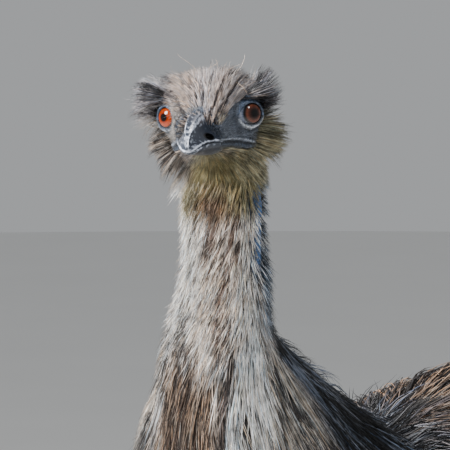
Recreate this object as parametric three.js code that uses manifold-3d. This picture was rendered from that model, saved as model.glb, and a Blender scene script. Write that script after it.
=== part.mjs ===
// An adult emu standing at ease, its body seen from the left front and its head turned to its left.
// Millimetres, +Z up. The body faces -Y and the bird's left is +X. The model rests on its six toes.
// The flesh is a few lofts. The coat is tapered locks that grow from them and hang along its lie.
import * as THREE from "three";
import { mergeVertices } from "three/addons/utils/BufferGeometryUtils.js";
import Module from "manifold-3d";

const wasm = await Module();
wasm.setup();
const { Manifold } = wasm;

// Driving dimensions of the bird
const GAP = 0.3; // between two pieces that meet face to face
const WELD = 0.03; // edges shorter than this are closed up
const HEAD_MID = [120, -405, 1405]; // midway between the eyes
const HEAD_TURN = 38.5; // degrees to the bird's left
const HEAD_UP = 4; // degrees that the bill is raised
const HEAD_ROLL = 3.6; // degrees that the left eye is the higher one
const EYE_RADIUS = 13.5;
const EYE_ASIDE = 26.4; // centre of an eyeball from the middle of the head
const EYE_OUTWARD = 38; // degrees between the way an eye looks and the bill
const BILL_BASE = 43; // how far the bill's base lies ahead of the eyes
const HIP_ASIDE = 100;
const STRIDE = 22; // how far each foot stands before or behind the middle
const TRUNK_SIDES = 16;
const NECK_SIDES = 12;
const HEAD_SIDES = 16;
const LEG_SIDES = 10;
const TOE_SIDES = 7;

const V = (x, y, z) => new THREE.Vector3(x, y, z);
const radians = THREE.MathUtils.degToRad;
const { clamp, lerp, smoothstep } = THREE.MathUtils;
const DOWN = V(0, 0, -1);
const LEFT = V(1, 0, 0);

// Where the random draws of each node's locks start
const DRAWS = {
  head: 10,
  neck_upper: 11,
  neck_middle: 12,
  neck_lower: 13,
  thigh_left: 14,
  thigh_right: 15,
  wing_left: 16,
  wing_right: 17,
  torso: 18,
  tail: 100,
};
let seed = DRAWS.head;
// A repeatable random number from -1 to 1
function vary() {
  seed = (seed * 1664525 + 1013904223) % 4294967296;
  return (seed / 4294967296) * 2 - 1;
}

// Materials
const paint = (color, roughness) => new THREE.MeshStandardMaterial({ color, roughness, metalness: 0 });
const BODY_COAT = paint(0x6f6459, 0.85);
const NECK_COAT = paint(0xb9aca0, 0.85);
const HEAD_COAT = paint(0x857362, 0.85);
const HORN = paint(0x3d4048, 0.45);
const CLAW_HORN = paint(0x2b2724, 0.4);
const LEG_SKIN = paint(0x5a5148, 0.7);
const FACE_SKIN = paint(0x39424c, 0.6);
const EYE_AMBER = paint(0x8a4420, 0.08);

// Turns a closed three.js geometry into a solid, and a solid back into a geometry
function solidOf(geometry) {
  const bare = new THREE.BufferGeometry();
  bare.setAttribute("position", geometry.getAttribute("position"));
  bare.setIndex(geometry.index);
  const merged = mergeVertices(bare, 1e-3);
  return new Manifold(
    new wasm.Mesh({
      numProp: 3,
      vertProperties: merged.attributes.position.array,
      triVerts: new Uint32Array(merged.index.array),
    }),
  );
}

function geometryOf(solid) {
  const { vertProperties, triVerts } = solid.getMesh();
  const geometry = new THREE.BufferGeometry();
  geometry.setAttribute("position", new THREE.BufferAttribute(vertProperties, 3));
  geometry.setIndex(new THREE.BufferAttribute(triVerts, 1));
  geometry.computeVertexNormals();
  return geometry;
}

// Moves every vertex of a geometry to where place(vertex) says
function warp(geometry, place) {
  const position = geometry.getAttribute("position");
  for (let i = 0; i < position.count; i++) {
    const p = place(V(position.getX(i), position.getY(i), position.getZ(i)));
    position.setXYZ(i, p.x, p.y, p.z);
  }
  return geometry;
}

const boxBetween = (low, high) => {
  const size = V(...high).sub(V(...low));
  const mid = V(...high).add(V(...low)).multiplyScalar(0.5);
  return solidOf(new THREE.BoxGeometry(size.x, size.y, size.z).translate(mid.x, mid.y, mid.z));
};

// Closes up every edge shorter than WELD, where its two ends share just the corners of its two faces
function weld(geometry) {
  const position = geometry.getAttribute("position");
  let faces = [];
  const { array } = geometry.index;
  for (let f = 0; f < array.length; f += 3) faces.push([array[f], array[f + 1], array[f + 2]]);
  const around = Array.from({ length: position.count }, () => new Set());
  for (const face of faces) face.forEach((i) => face.forEach((j) => i !== j && around[i].add(j)));
  const corner = (i) => V().fromBufferAttribute(position, i);
  for (let i = 0; i < position.count; i++) {
    for (const j of [...around[i]]) {
      if (j < i || !around[i].has(j) || corner(i).distanceTo(corner(j)) >= WELD) continue;
      if ([...around[i]].filter((k) => around[j].has(k)).length !== 2) continue;
      for (const k of around[j]) {
        around[k].delete(j);
        if (k !== i) {
          around[k].add(i);
          around[i].add(k);
        }
      }
      around[j].clear();
      faces = faces.map((face) => face.map((k) => (k === j ? i : k)));
      faces = faces.filter((face) => new Set(face).size === 3);
    }
  }
  const welded = new THREE.BufferGeometry();
  welded.setAttribute("position", position);
  welded.setIndex(faces.flat());
  return welded;
}

// A node keeps its largest closed surface, once its shortest edges are welded
function largest(solid) {
  const outer = (from) => from.decompose().sort((a, b) => b.volume() - a.volume())[0];
  return outer(solidOf(weld(geometryOf(outer(solid)))));
}

// Sections: what a unit circle becomes across a loft
const oval = (c, s) => [c, s];
const egg = (c, s) => [c * (1 - 0.14 * s), s];
const squarish = (c, s) => [Math.sign(c) * Math.abs(c) ** 0.82, Math.sign(s) * Math.abs(s) ** 0.88];
const ridged = (c, s) => (s < 0 ? [c, 0] : [c, s * 0.7 + 0.3 * Math.exp(-((c / 0.4) ** 2)) * s]);
const keeled = (c, s) => (s > 0 ? [c, 0] : [c, s]);

// A loft: a smooth line of middles with a half width and half height at each station
class Loft {
  constructor(stations, section, sideAt = () => LEFT) {
    const smooth = (rows) => new THREE.CatmullRomCurve3(rows, false, "centripetal");
    this.path = smooth(stations.map((s) => V(...s.mid)));
    this.sizes = new THREE.CatmullRomCurve3(stations.map((s) => V(...s.half, 0)), false, "catmullrom");
    this.last = stations.length - 1;
    this.section = section;
    this.sideAt = sideAt;
  }

  frame(station) {
    const t = clamp(station / this.last, 0, 1);
    const mid = this.path.getPoint(t);
    const along = this.path.getTangent(t);
    const side = this.sideAt(station).clone();
    side.addScaledVector(along, -side.dot(along)).normalize();
    const up = V().crossVectors(along, side);
    return { mid, along, side, up, size: this.sizes.getPoint(t) };
  }

  // angle 0 is the bird's left and a quarter turn is its back
  point(station, angle, pad = 0) {
    return this.place(this.frame(station), Math.cos(angle), Math.sin(angle), pad);
  }

  place({ mid, side, up, size }, c, s, pad) {
    const [across, high] = this.section(c, s);
    return mid
      .clone()
      .addScaledVector(side, across * (size.x + pad))
      .addScaledVector(up, high * (size.y + pad));
  }

  slopes(station, angle) {
    const step = 0.02;
    const byStation = this.point(station + step, angle).sub(this.point(station - step, angle));
    const byAngle = this.point(station, angle + step).sub(this.point(station, angle - step));
    return [byStation.divideScalar(2 * step), byAngle.divideScalar(2 * step)];
  }

  normal(station, angle) {
    const [byStation, byAngle] = this.slopes(station, angle);
    return V().crossVectors(byAngle, byStation).normalize();
  }

  // The station and angle of the surface point nearest to target, from a guess close by
  nearest(target, station, angle) {
    for (let turn = 0; turn < 3; turn++) {
      const [u, v] = this.slopes(station, angle);
      const off = target.clone().sub(this.point(station, angle));
      const [uu, uv, vv] = [u.dot(u), u.dot(v), v.dot(v)];
      const [ou, ov] = [off.dot(u), off.dot(v)];
      const det = uu * vv - uv * uv || 1;
      station = clamp(station + clamp((ou * vv - ov * uv) / det, -1, 1), 0.03, this.last - 0.03);
      angle += clamp((ov * uu - ou * uv) / det, -0.6, 0.6);
    }
    return [station, angle];
  }

  // The closed solid from one station to another, with rings at even steps or at a list of stations.
  // Each cut end is drawn in by its share of drawIn, and relief(station, angle) is added outwards.
  solid(from, to, sides, rings, { pad = 0, drawIn = [0, 0], relief = () => 0 } = {}) {
    const list = Array.isArray(rings) ? [from, ...rings, to] : null;
    const steps = list ? list.length - 1 : rings;
    const tube = new THREE.CylinderGeometry(1, 1, 1, sides, steps);
    return solidOf(
      warp(tube, ({ x, y, z }) => {
        const ring = Math.round((y + 0.5) * steps);
        const station = list ? list[ring] : lerp(from, to, ring / steps);
        const frame = this.frame(station);
        const inward = ring === 0 ? drawIn[0] : ring === steps ? -drawIn[1] : 0;
        const atCentre = Math.hypot(x, z) < 1e-6;
        const raised = pad + relief(station, Math.atan2(z, -x));
        const p = atCentre ? frame.mid.clone() : this.place(frame, -x, z, raised);
        return p.addScaledVector(frame.along, inward);
      }),
    );
  }
}

// The trunk, from the tip of the tail flesh along the back and up the neck into the head
const TRUNK = [
  { mid: [0, 424, 858], half: [28, 24] }, // tail tip
  { mid: [0, 382, 888], half: [82, 72] }, // tail
  { mid: [0, 292, 934], half: [132, 126] }, // rump
  { mid: [0, 150, 961], half: [166, 173] }, // loin
  { mid: [0, 0, 972], half: [173, 181] }, // back
  { mid: [0, -130, 980], half: [160, 172] }, // shoulder
  { mid: [6, -210, 1014], half: [134, 151] }, // breast
  { mid: [20, -263, 1080], half: [100, 116] }, // root of the neck
  { mid: [44, -309, 1150], half: [66, 75] }, // lower neck
  { mid: [70, -350, 1215], half: [43.5, 47] },
  { mid: [92, -366, 1276], half: [32.5, 34.5] }, // upper neck
  { mid: [104, -377, 1332], half: [31, 32] },
  { mid: [112, -386, 1392], half: [25, 24] }, // inside the head
];
const TAIL_CUT = 1.55;
const NECK_CUTS = [6.75, 8.7, 10.25, 11.35];
const headLeft = V(1, 0, 0).applyAxisAngle(V(0, 0, 1), radians(HEAD_TURN));
const trunkSide = (station) => LEFT.clone().lerp(headLeft, smoothstep(station, 6, 11.5));
const trunk = new Loft(TRUNK, egg, trunkSide);

// The head, in its own frame: it faces -Y from the point midway between its eyes
const headStation = (ahead, halfWidth, top, bottom) => ({
  mid: [0, -ahead, (top + bottom) / 2],
  half: [halfWidth, (top - bottom) / 2],
});
const skull = new Loft(
  [
    headStation(-54, 3, 6, -2),
    headStation(-49, 18, 17, -14),
    headStation(-36, 30, 26, -28),
    headStation(-16, 38, 30, -36),
    headStation(5, 34, 29.5, -35.5),
    headStation(21, 28, 23, -33.5),
    headStation(33, 24.5, 12, -31.5),
    headStation(BILL_BASE, 22, 3, -30),
  ],
  squarish,
);
const SKULL_END = 7;

// Sizes of one kind of lock; lift is its rise over the flesh for each millimetre of its length,
// cling is how much it follows the lie of the coat, and weight is how much it bends down
const LOCKS = {
  torso: { length: 156, width: 42, depth: 6, lift: 0.2, sink: 9, cling: 0.4, weight: 0.3, steps: 3 },
  tail: { length: 235, width: 36, depth: 7, lift: 0.12, sink: 9, cling: 0.15, weight: 0.6, steps: 3 },
  wing: { length: 124, width: 19, depth: 3.5, lift: 0.12, sink: 3, cling: 0.2, weight: 0.3, steps: 3 },
  neckRoot: { length: 104, width: 31, depth: 4.5, lift: 0.19, sink: 7, cling: 0.9, weight: 0.1, steps: 3 },
  neck: { length: 56, width: 18, depth: 3, lift: 0.22, sink: 4.5, cling: 0.8, weight: 0.1, steps: 2 },
  throat: { length: 38, width: 12.5, depth: 2.4, lift: 0.26, sink: 3.4, cling: 0.7, weight: 0.1, steps: 2 },
  thigh: { length: 108, width: 29, depth: 4, lift: 0.17, sink: 5, cling: 0.8, weight: 0.1, steps: 3 },
  brow: { length: 46, width: 5.2, depth: 1.9, lift: 0.36, sink: 2.6, cling: 0, weight: 0.02, steps: 3 },
  crown: { length: 29, width: 7.5, depth: 1.8, lift: 0.17, sink: 2.6, cling: 0.3, weight: 0.02, steps: 2 },
  cheek: { length: 33, width: 7.5, depth: 1.8, lift: 0.42, sink: 2.6, cling: 0.1, weight: 0.05, steps: 2 },
};
// Share of a lock's full width at its root, tip and even steps between
const LOCK_OUTLINE = { 2: [0.8, 1, 0], 3: [0.7, 1, 0.7, 0] };

// One tapered lock: rooted in the loft at station and angle, it follows lay(point) and hangs
function lock(loft, station, angle, kind, lay, { scale = 1, lift = kind.lift, fat = 0 } = {}) {
  const { depth, sink, cling, weight, steps } = kind;
  const stride = (kind.length * scale) / steps;
  let normal = loft.normal(station, angle);
  let point = loft.point(station, angle).addScaledVector(normal, -sink);
  const flat = (v) => v.clone().addScaledVector(normal, -v.dot(normal)).normalize();
  let way = flat(lay(point, normal));
  const rows = [];
  for (let k = 0; k <= steps; k++) {
    rows.push({ point: point.clone(), across: V().crossVectors(way, normal).normalize(), normal });
    const wanted = flat(lay(point, normal)).multiplyScalar(cling);
    way = way.multiplyScalar(1 - cling).add(wanted).addScaledVector(DOWN, weight).normalize();
    point = point.clone().addScaledVector(way, stride);
    [station, angle] = loft.nearest(point, station, angle);
    normal = loft.normal(station, angle);
    const height = (k + 1) * stride * lift - sink * (1 - (k + 1) / steps);
    const short = height - point.clone().sub(loft.point(station, angle)).dot(normal);
    const pushed = Math.max(short, 0);
    point.addScaledVector(normal, cling > 0.6 ? short : pushed);
    if (k + 1 === steps) way = point.clone().sub(rows[k].point).normalize();
  }
  const outline = LOCK_OUTLINE[steps];
  const blade = new THREE.ConeGeometry(1, 1, 3, steps);
  return solidOf(
    warp(blade, ({ x, y, z }) => {
      const k = Math.round((y + 0.5) * steps);
      const reach = Math.hypot(x, z) || 1;
      const row = rows[k];
      const half = outline[k] * kind.width * scale + (k < steps ? fat : 0);
      const high = Math.sqrt(outline[k]) * depth + (k < steps ? fat : 0);
      const tip = k === steps ? 0 : 1;
      return row.point
        .clone()
        .addScaledVector(row.across, (x / reach) * half * tip)
        .addScaledVector(row.normal, (z / reach) * high * tip);
    }),
  );
}

// A lock that keeps clear of other solids: it is raised, laid flatter or shortened until it does
function clearLock(loft, station, angle, kind, lay, scale, others) {
  const tries = [
    [1, 1],
    [1.25, 1],
    [1.6, 1],
    [0.7, 1],
    [0.5, 0.9],
    [1.3, 0.75],
    [0.5, 0.7],
    [0.9, 0.55],
  ];
  for (const [rise, share] of tries) {
    const shape = { scale: scale * share, lift: kind.lift * rise };
    const test = lock(loft, station, angle, kind, lay, { ...shape, fat: 0.5 });
    if (others.every((other) => other.intersect(test).isEmpty())) {
      return lock(loft, station, angle, kind, lay, shape);
    }
  }
  return null;
}

// Rows of locks round a loft between two stations, each row set half a step round from the last
function coat(loft, kind, rows, lay, others, { scaleAt = () => 1, keep = () => true } = {}) {
  const grown = [];
  rows.forEach(({ station, count, from = 0, sweep = 2 * Math.PI }, row) => {
    for (let k = 0; k < count; k++) {
      const angle = from + (sweep * (k + 0.5 * (row % 2) + 0.14 * vary())) / count;
      const at = station + 0.1 * vary();
      const scale = scaleAt(at, angle) * (1 + 0.12 * vary());
      if (!keep(loft.point(at, angle), at, angle)) continue;
      const made = clearLock(loft, at, angle, kind, lay, scale, others);
      if (made) grown.push(made);
    }
  });
  return grown;
}

const evenRows = (from, to, rows, countAt) =>
  Array.from({ length: rows }, (_, k) => {
    const station = lerp(from, to, rows > 1 ? k / (rows - 1) : 0);
    return { station, count: countAt(station) };
  });

// The lie of the coat: back from the parting along the spine, then down the sides
const trunkLay = (point, normal) => {
  const aside = Math.sign(point.x - 4) * clamp(normal.z, 0, 1) * 0.45;
  return V(aside, 0.75 + 0.35 * clamp(normal.z, 0, 1), -1);
};
const neckLay = () => V(-0.12, 0.3, -1);

const headGroup = new THREE.Group();
headGroup.position.set(...HEAD_MID);
headGroup.rotation.set(radians(-HEAD_UP), radians(-HEAD_ROLL), radians(HEAD_TURN), "ZXY");
headGroup.updateMatrix();
const toHead = headGroup.matrix.clone().invert();
const intoHead = (solid) => solidOf(geometryOf(solid).applyMatrix4(toHead));
const intoBody = (solid) => solidOf(geometryOf(solid).applyMatrix4(headGroup.matrix));

// Head: skull and neck top in one, with sockets, lids, mouth line, lips and ear pockets
const eyeMid = (side) => V(side * EYE_ASIDE, 0, 0);
const eyeWay = (side) => V(side * Math.sin(radians(EYE_OUTWARD)), -Math.cos(radians(EYE_OUTWARD)), 0);
const EAR = { ahead: -27, aside: 33.4, high: -13, radius: 6 };
const LID = { reach: 8.6, across: 11.6, high: 9.8, tube: 2.4, spread: 4, back: 6.5 };

function ball(radius, sides, rings) {
  return new THREE.SphereGeometry(radius, sides, rings);
}

// Turns a geometry made round +Y so that it points along way, and moves it to point
function aim(geometry, way, point) {
  const turn = new THREE.Quaternion().setFromUnitVectors(V(0, 1, 0), way.clone().normalize());
  return geometry.applyQuaternion(turn).translate(point.x, point.y, point.z);
}

function eyeball(side, grow = 0) {
  const profile = [];
  const turns = 8;
  for (let k = 0; k <= turns; k++) {
    const a = (Math.PI * k) / turns;
    const swell = 1 + 0.07 * smoothstep(Math.cos(a), 0.72, 1);
    const r = (EYE_RADIUS + grow) * swell;
    profile.push(new THREE.Vector2(Math.sin(a) * r, Math.cos(a) * r));
  }
  profile.reverse();
  profile[0].x = 0;
  profile[turns].x = 0;
  const shape = new THREE.LatheGeometry(profile, 11);
  return aim(shape, eyeWay(side), eyeMid(side));
}

function lidRing(side) {
  const ring = new THREE.TorusGeometry(1, 0.2, 4, 12);
  const way = eyeWay(side);
  const across = V(0, 0, 1).cross(way).normalize();
  const mid = eyeMid(side).addScaledVector(way, LID.reach);
  return solidOf(
    warp(ring, ({ x, y, z }) => {
      const round = Math.hypot(x, y);
      const [c, s] = [x / round, y / round];
      const out = (round - 1) / 0.2;
      const tube = LID.tube * (s > 0 ? 1.15 : 0.95);
      const behind = Math.max(-z / 0.2, 0);
      const wider = out * tube + LID.spread * behind;
      const bulge = 1.6 * c * c + LID.back * behind;
      return mid
        .clone()
        .addScaledVector(across, c * (LID.across + wider))
        .addScaledVector(V(0, 0, 1), s * (LID.high + wider) + 0.6 * Math.abs(c))
        .addScaledVector(way, (z / 0.2) * tube - bulge);
    }),
  );
}

// Where the surface of the skull lies on one side, at a distance ahead of the eyes and a height
function onFace(side, ahead, high) {
  let [low, top] = [0, SKULL_END];
  for (let turn = 0; turn < 20; turn++) {
    const middle = (low + top) / 2;
    if (-skull.frame(middle).mid.y < ahead) low = middle;
    else top = middle;
  }
  let [down, up] = [radians(-89), radians(89)];
  for (let turn = 0; turn < 20; turn++) {
    const middle = (down + up) / 2;
    if (skull.point(low, middle).z < high) down = middle;
    else up = middle;
  }
  const found = skull.point(low, up);
  return V(side * Math.abs(found.x), found.y, found.z);
}

// The mouth runs from the bill's base back to the gape, between two lips
const MOUTH = [
  { ahead: BILL_BASE, high: -20.9 },
  { ahead: 26, high: -20.2 },
  { ahead: 9, high: -20.6 },
  { ahead: -6, high: -23 },
];
function mouthLine(side) {
  const points = MOUTH.map(({ ahead, high }) => onFace(side, ahead, high));
  points[0].y -= 4; // past the bill's base, where the flat front of the face cuts it
  return new THREE.CatmullRomCurve3(points);
}

function alongMouth(side, { wide, high, raise, sides, steps, out = 0.9 }) {
  const line = mouthLine(side);
  const bar = new THREE.CylinderGeometry(1, 1, 1, sides, steps);
  return solidOf(
    warp(bar, ({ x, y, z }) => {
      const t = y + 0.5;
      const along = line.getTangent(t);
      const outward = V().crossVectors(along, V(0, 0, 1)).normalize().multiplyScalar(side);
      const round = Math.hypot(x, z) < 1e-6 ? 0 : 1;
      const taper = 1 - 0.45 * t;
      return line
        .getPoint(t)
        .addScaledVector(outward, out + x * side * wide * taper * round)
        .add(V(0, 0, taper * (raise + z * high * round)));
    }),
  );
}
const UPPER_LIP = { wide: 2.6, high: 1.9, raise: 2.1, sides: 5, steps: 4 };
const LOWER_LIP = { wide: 2.4, high: 1.8, raise: -2, sides: 5, steps: 4 };
const MOUTH_SLOT = { wide: 3.3, high: 0.55, raise: 0.04, sides: 4, steps: 4, out: 0.7 };

function earCup(side) {
  const { radius } = EAR;
  const wall = radius * 0.3;
  const profile = [
    [0, -2.6],
    [radius * 0.8, -2.2],
    [radius, 0.6],
    [radius - wall * 0.5, 1.6],
    [radius - wall, 0.8],
    [radius * 0.45, -1],
    [0, -1.4],
  ].map(([x, y]) => new THREE.Vector2(x, y));
  const way = V(side, 0.25, -0.1);
  const mid = V(side * EAR.aside, -EAR.ahead, EAR.high);
  const cup = new THREE.LatheGeometry(profile, 9);
  cup.scale(0.75, 1, 1.15);
  return aim(cup, way, mid);
}

const headLay = (point, normal) =>
  V(0.028 * point.x, 1, -0.25 + 0.55 * clamp(normal.z, 0, 1) * (point.y > 20 ? -1 : 0.35));

function headSolid() {
  const neckTop = trunk.solid(NECK_CUTS[3], trunk.last, NECK_SIDES, 3, { drawIn: [GAP / 2, 0] });
  let head = skull
    .solid(0, SKULL_END, HEAD_SIDES, 10, { drawIn: [0, GAP / 2] })
    .add(intoHead(neckTop));
  for (const side of [1, -1]) {
    head = head.add(lidRing(side));
    head = head.subtract(solidOf(eyeball(side, GAP)));
    head = head.add(alongMouth(side, UPPER_LIP)).add(alongMouth(side, LOWER_LIP));
    head = head.subtract(alongMouth(side, MOUTH_SLOT));
    const pocket = ball(EAR.radius + GAP, 9, 6);
    pocket.scale(0.8, 0.8, 1.18).translate(side * EAR.aside, -EAR.ahead, EAR.high);
    head = head.subtract(solidOf(pocket));
  }
  return head.intersect(boxBetween([-90, GAP / 2 - BILL_BASE, -200], [90, 90, 90]));
}

// Bills
const billStation = (ahead, halfWidth, edge, reach) => ({
  mid: [0, -ahead, edge],
  half: [halfWidth, Math.abs(reach - edge)],
});
const upperBill = new Loft(
  [
    billStation(BILL_BASE, 23, -20.4, 5),
    billStation(54, 18.6, -19.9, 2),
    billStation(66, 14.2, -20.3, -2),
    billStation(76, 10.2, -21.6, -7.5),
    billStation(84, 6.6, -24, -14.5),
    billStation(88.5, 2.2, -27.2, -22.5),
  ],
  ridged,
);
const lowerBill = new Loft(
  [
    billStation(BILL_BASE, 22, -21.3, -30),
    billStation(54, 17.6, -20.8, -29.6),
    billStation(66, 13.2, -21.2, -29.2),
    billStation(76, 9.2, -22.6, -29),
    billStation(83, 5.2, -24.9, -29.2),
    billStation(85.5, 1.8, -26.6, -29.4),
  ],
  keeled,
);

const AHEAD_OF_FACE = boxBetween([-60, -120, -60], [60, -BILL_BASE - GAP / 2, 60]);

function upperBillSolid() {
  let bill = upperBill.solid(0, 5, 16, 7);
  for (const side of [1, -1]) {
    const hole = ball(1, 8, 6);
    hole.scale(3, 7, 2.3).rotateZ(radians(-14 * side)).translate(side * 9.4, -60, -9.8);
    bill = bill.subtract(solidOf(hole));
  }
  return bill.intersect(AHEAD_OF_FACE);
}

const lowerBillSolid = () => lowerBill.solid(0, 5, 12, 6).intersect(AHEAD_OF_FACE);

// Legs, in the bird's own frame; side is 1 for the left leg and foot is its place before or behind
const legStations = (side, foot) => {
  const at = (aside, behind, high, halfWidth, halfDepth, share) => ({
    mid: [side * aside, behind + foot * share, high],
    half: [halfWidth, halfDepth],
  });
  return [
    at(HIP_ASIDE - 8, -8, 880, 60, 82, 0),
    at(HIP_ASIDE + 4, -4, 780, 56, 76, 0.1),
    at(HIP_ASIDE + 8, 24, 690, 45, 58, 0.25),
    at(HIP_ASIDE + 6, 56, 605, 33, 42, 0.45),
    at(HIP_ASIDE + 3, 82, 520, 23, 28, 0.65),
    at(HIP_ASIDE, 97, 462, 19.5, 23, 0.8),
    at(HIP_ASIDE - 1, 101, 420, 24.5, 28, 0.85),
    at(HIP_ASIDE - 2, 93, 376, 18.5, 22.5, 0.9),
    at(HIP_ASIDE - 3, 76, 255, 15, 18, 1),
    at(HIP_ASIDE - 4, 57, 128, 15.5, 19, 1),
    at(HIP_ASIDE - 4, 47, 74, 21, 22, 1),
    at(HIP_ASIDE - 4, 41, 30, 24, 24, 1),
  ];
};
const LEG_CUTS = { shank: 4.4, hock: 5.35, tarsus: 6.75, foot: 9.85 };
const TOES = {
  inner: { length: 88, turn: -34, base: 16 },
  middle: { length: 138, turn: 0, base: 19 },
  outer: { length: 96, turn: 33, base: 16.5 },
};
const ANKLE = { behind: 38, high: 30 };
const ABOVE_FLOOR = boxBetween([-400, -400, 0], [400, 400, 500]);

function toeLoft(side, foot, { length, turn, base }) {
  const way = V(side * Math.sin(radians(turn)), -Math.cos(radians(turn)), 0);
  const root = V(side * (HIP_ASIDE - 4), ANKLE.behind + foot, 0);
  const at = (share, high, halfWidth, halfHeight) => ({
    mid: root.clone().addScaledVector(way, share * length).setZ(high).toArray(),
    half: [halfWidth, halfHeight],
  });
  const across = V(-way.y, way.x, 0);
  const stations = [
    at(0, 28, base * 1.05, 22),
    at(0.26, 17.5, base, 18.5),
    at(0.46, 12.5, base * 0.86, 14.5),
    at(0.66, 11.5, base * 0.84, 13),
    at(0.86, 9.6, base * 0.7, 11),
    at(1, 8, base * 0.42, 6.5),
  ];
  const loft = new Loft(stations, squarish, () => across);
  return { loft, way, tip: root.clone().addScaledVector(way, length), across };
}

// Scutes: overlapping plates raised in a loft's own surface, round the angle that they face.
// Each is highest at its lower edge, where it overlaps the next one.
function scuted(loft, from, to, sides, { first, last, count, facing, reach, rise }, drawIn) {
  const long = (last - first) / count;
  const rings = [];
  for (let k = 0; k < count; k++) rings.push(first + long * (k + 0.06), first + long * (k + 0.94));
  const relief = (station, angle) => {
    const k = (station - first) / long;
    if (k < 0 || k > count) return 0;
    const turned = Math.abs(Math.atan2(Math.sin(angle - facing), Math.cos(angle - facing)));
    return turned > reach ? 0 : rise * (k - Math.floor(k)) * Math.cos((turned / reach) * 1.2);
  };
  return loft.solid(from, to, sides, rings, { drawIn, relief });
}

// A blunt claw at the end of a toe, or the hole that it sits in when it is grown by the gap
function clawSolid(side, foot, toe, grow = 0) {
  const { way, tip, across } = toeLoft(side, foot, toe);
  const long = toe.length * 0.13 + 12 + 2 * grow;
  const claw = new THREE.ConeGeometry(1, 1, 6, 3);
  const solid = solidOf(
    warp(claw, ({ x, y, z }) => {
      const t = y + 0.5;
      const r = Math.hypot(x, z) || 1;
      const taper = t > 0.99 ? 0 : (1 - t) ** 0.7;
      const wide = (toe.base * 0.36 + grow) * taper;
      const high = (6 + grow) * taper;
      return tip
        .clone()
        .addScaledVector(way, -toe.length * 0.02 - grow + long * t)
        .addScaledVector(across, (-wide * x) / r)
        .setZ(8.4 - 6.6 * t * t + (high * z) / r);
    }),
  );
  return grow ? solid : solid.intersect(ABOVE_FLOOR);
}

function addNode(parent, name, solid, material) {
  const mesh = new THREE.Mesh(geometryOf(largest(solid)), material);
  mesh.name = name;
  parent.add(mesh);
}

const bird = new THREE.Group();

// Head and its pieces
const headCore = headSolid();
const neckTopBelow = trunk.solid(NECK_CUTS[2], NECK_CUTS[3], NECK_SIDES, 3, { pad: GAP });
const sensed = [1, -1].flatMap((side) => [solidOf(eyeball(side)), solidOf(earCup(side))]);
const headTufts = coat(
  skull,
  LOCKS.crown,
  [
    { station: 4.8, count: 4, from: radians(40), sweep: radians(100) },
    { station: 3.6, count: 4, from: radians(35), sweep: radians(110) },
    { station: 2.5, count: 6, from: radians(-5), sweep: radians(190) },
  ],
  headLay,
  sensed,
);
function growTuft(station, angle, kind, lay, scale) {
  const tuft = clearLock(skull, station, angle, kind, lay, scale, sensed);
  if (tuft) headTufts.push(tuft);
}
for (const side of [1, -1]) {
  const outward = side > 0 ? 0 : Math.PI;
  for (let k = 0; k < 4; k++) {
    const angle = outward + side * radians(50 + 6 * (k % 2));
    const browLay = () => V(side, 0.2 + 0.14 * k, 0.1);
    const scale = 0.85 + 0.08 * k + 0.08 * vary();
    growTuft(4.4 - 0.5 * k, angle, LOCKS.brow, browLay, scale);
  }
  for (let k = 0; k < 3; k++) {
    const angle = outward - side * radians(30 + 14 * k);
    const cheekLay = () => V(side * 0.8, 0.7, -0.6);
    const scale = 0.9 + 0.1 * vary();
    growTuft(3.2 - 0.25 * k, angle, LOCKS.cheek, cheekLay, scale);
  }
}
const nape = coat(trunk, LOCKS.throat, [{ station: 11.75, count: 8 }], neckLay, [neckTopBelow]);
headTufts.push(...nape.map(intoHead));
const headWhole = Manifold.union([headCore, ...headTufts]);
addNode(headGroup, "head", headWhole, HEAD_COAT);
addNode(headGroup, "bill_upper", upperBillSolid(), HORN);
addNode(headGroup, "bill_lower", lowerBillSolid(), HORN);
for (const [side, word] of [[1, "left"], [-1, "right"]]) {
  addNode(headGroup, `eye_${word}`, solidOf(eyeball(side)), EYE_AMBER);
  addNode(headGroup, `ear_${word}`, solidOf(earCup(side)), FACE_SKIN);
}
bird.add(headGroup);

// Neck, from the head down
const neckCore = (k, sides, rings) =>
  trunk.solid(NECK_CUTS[k], NECK_CUTS[k + 1], sides, rings, { drawIn: [GAP / 2, GAP / 2] });
const cores = {
  neck_upper: neckCore(2, NECK_SIDES, 3),
  neck_middle: neckCore(1, NECK_SIDES, 4),
  neck_lower: neckCore(0, TRUNK_SIDES, 5),
  torso: trunk.solid(TAIL_CUT, NECK_CUTS[0], TRUNK_SIDES, 9, { drawIn: [GAP / 2, GAP / 2] }),
  tail: trunk.solid(0, TAIL_CUT, TRUNK_SIDES, 4, { drawIn: [0, GAP / 2] }),
};
const finished = { head: intoBody(headWhole) };
function dress(name, grow, material) {
  seed = DRAWS[name];
  finished[name] = largest(Manifold.union([cores[name], ...grow()]));
  addNode(bird, name, finished[name], material);
}

dress(
  "neck_upper",
  () =>
    coat(trunk, LOCKS.throat, evenRows(11.1, 10.6, 3, () => 7), neckLay, [
      finished.head,
      cores.neck_middle,
    ]),
  NECK_COAT,
);
dress(
  "neck_middle",
  () =>
    coat(trunk, LOCKS.neck, evenRows(10.05, 9.1, 4, (s) => Math.round(lerp(8, 6, s - 9))), neckLay, [
      finished.neck_upper,
      cores.neck_lower,
    ]),
  NECK_COAT,
);
dress(
  "neck_lower",
  () =>
    coat(trunk, LOCKS.neckRoot, evenRows(8.45, 7.2, 4, (s) => Math.round(lerp(9, 6, s - 7.2))), neckLay, [
      finished.neck_middle,
      cores.torso,
    ]),
  NECK_COAT,
);

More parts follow.
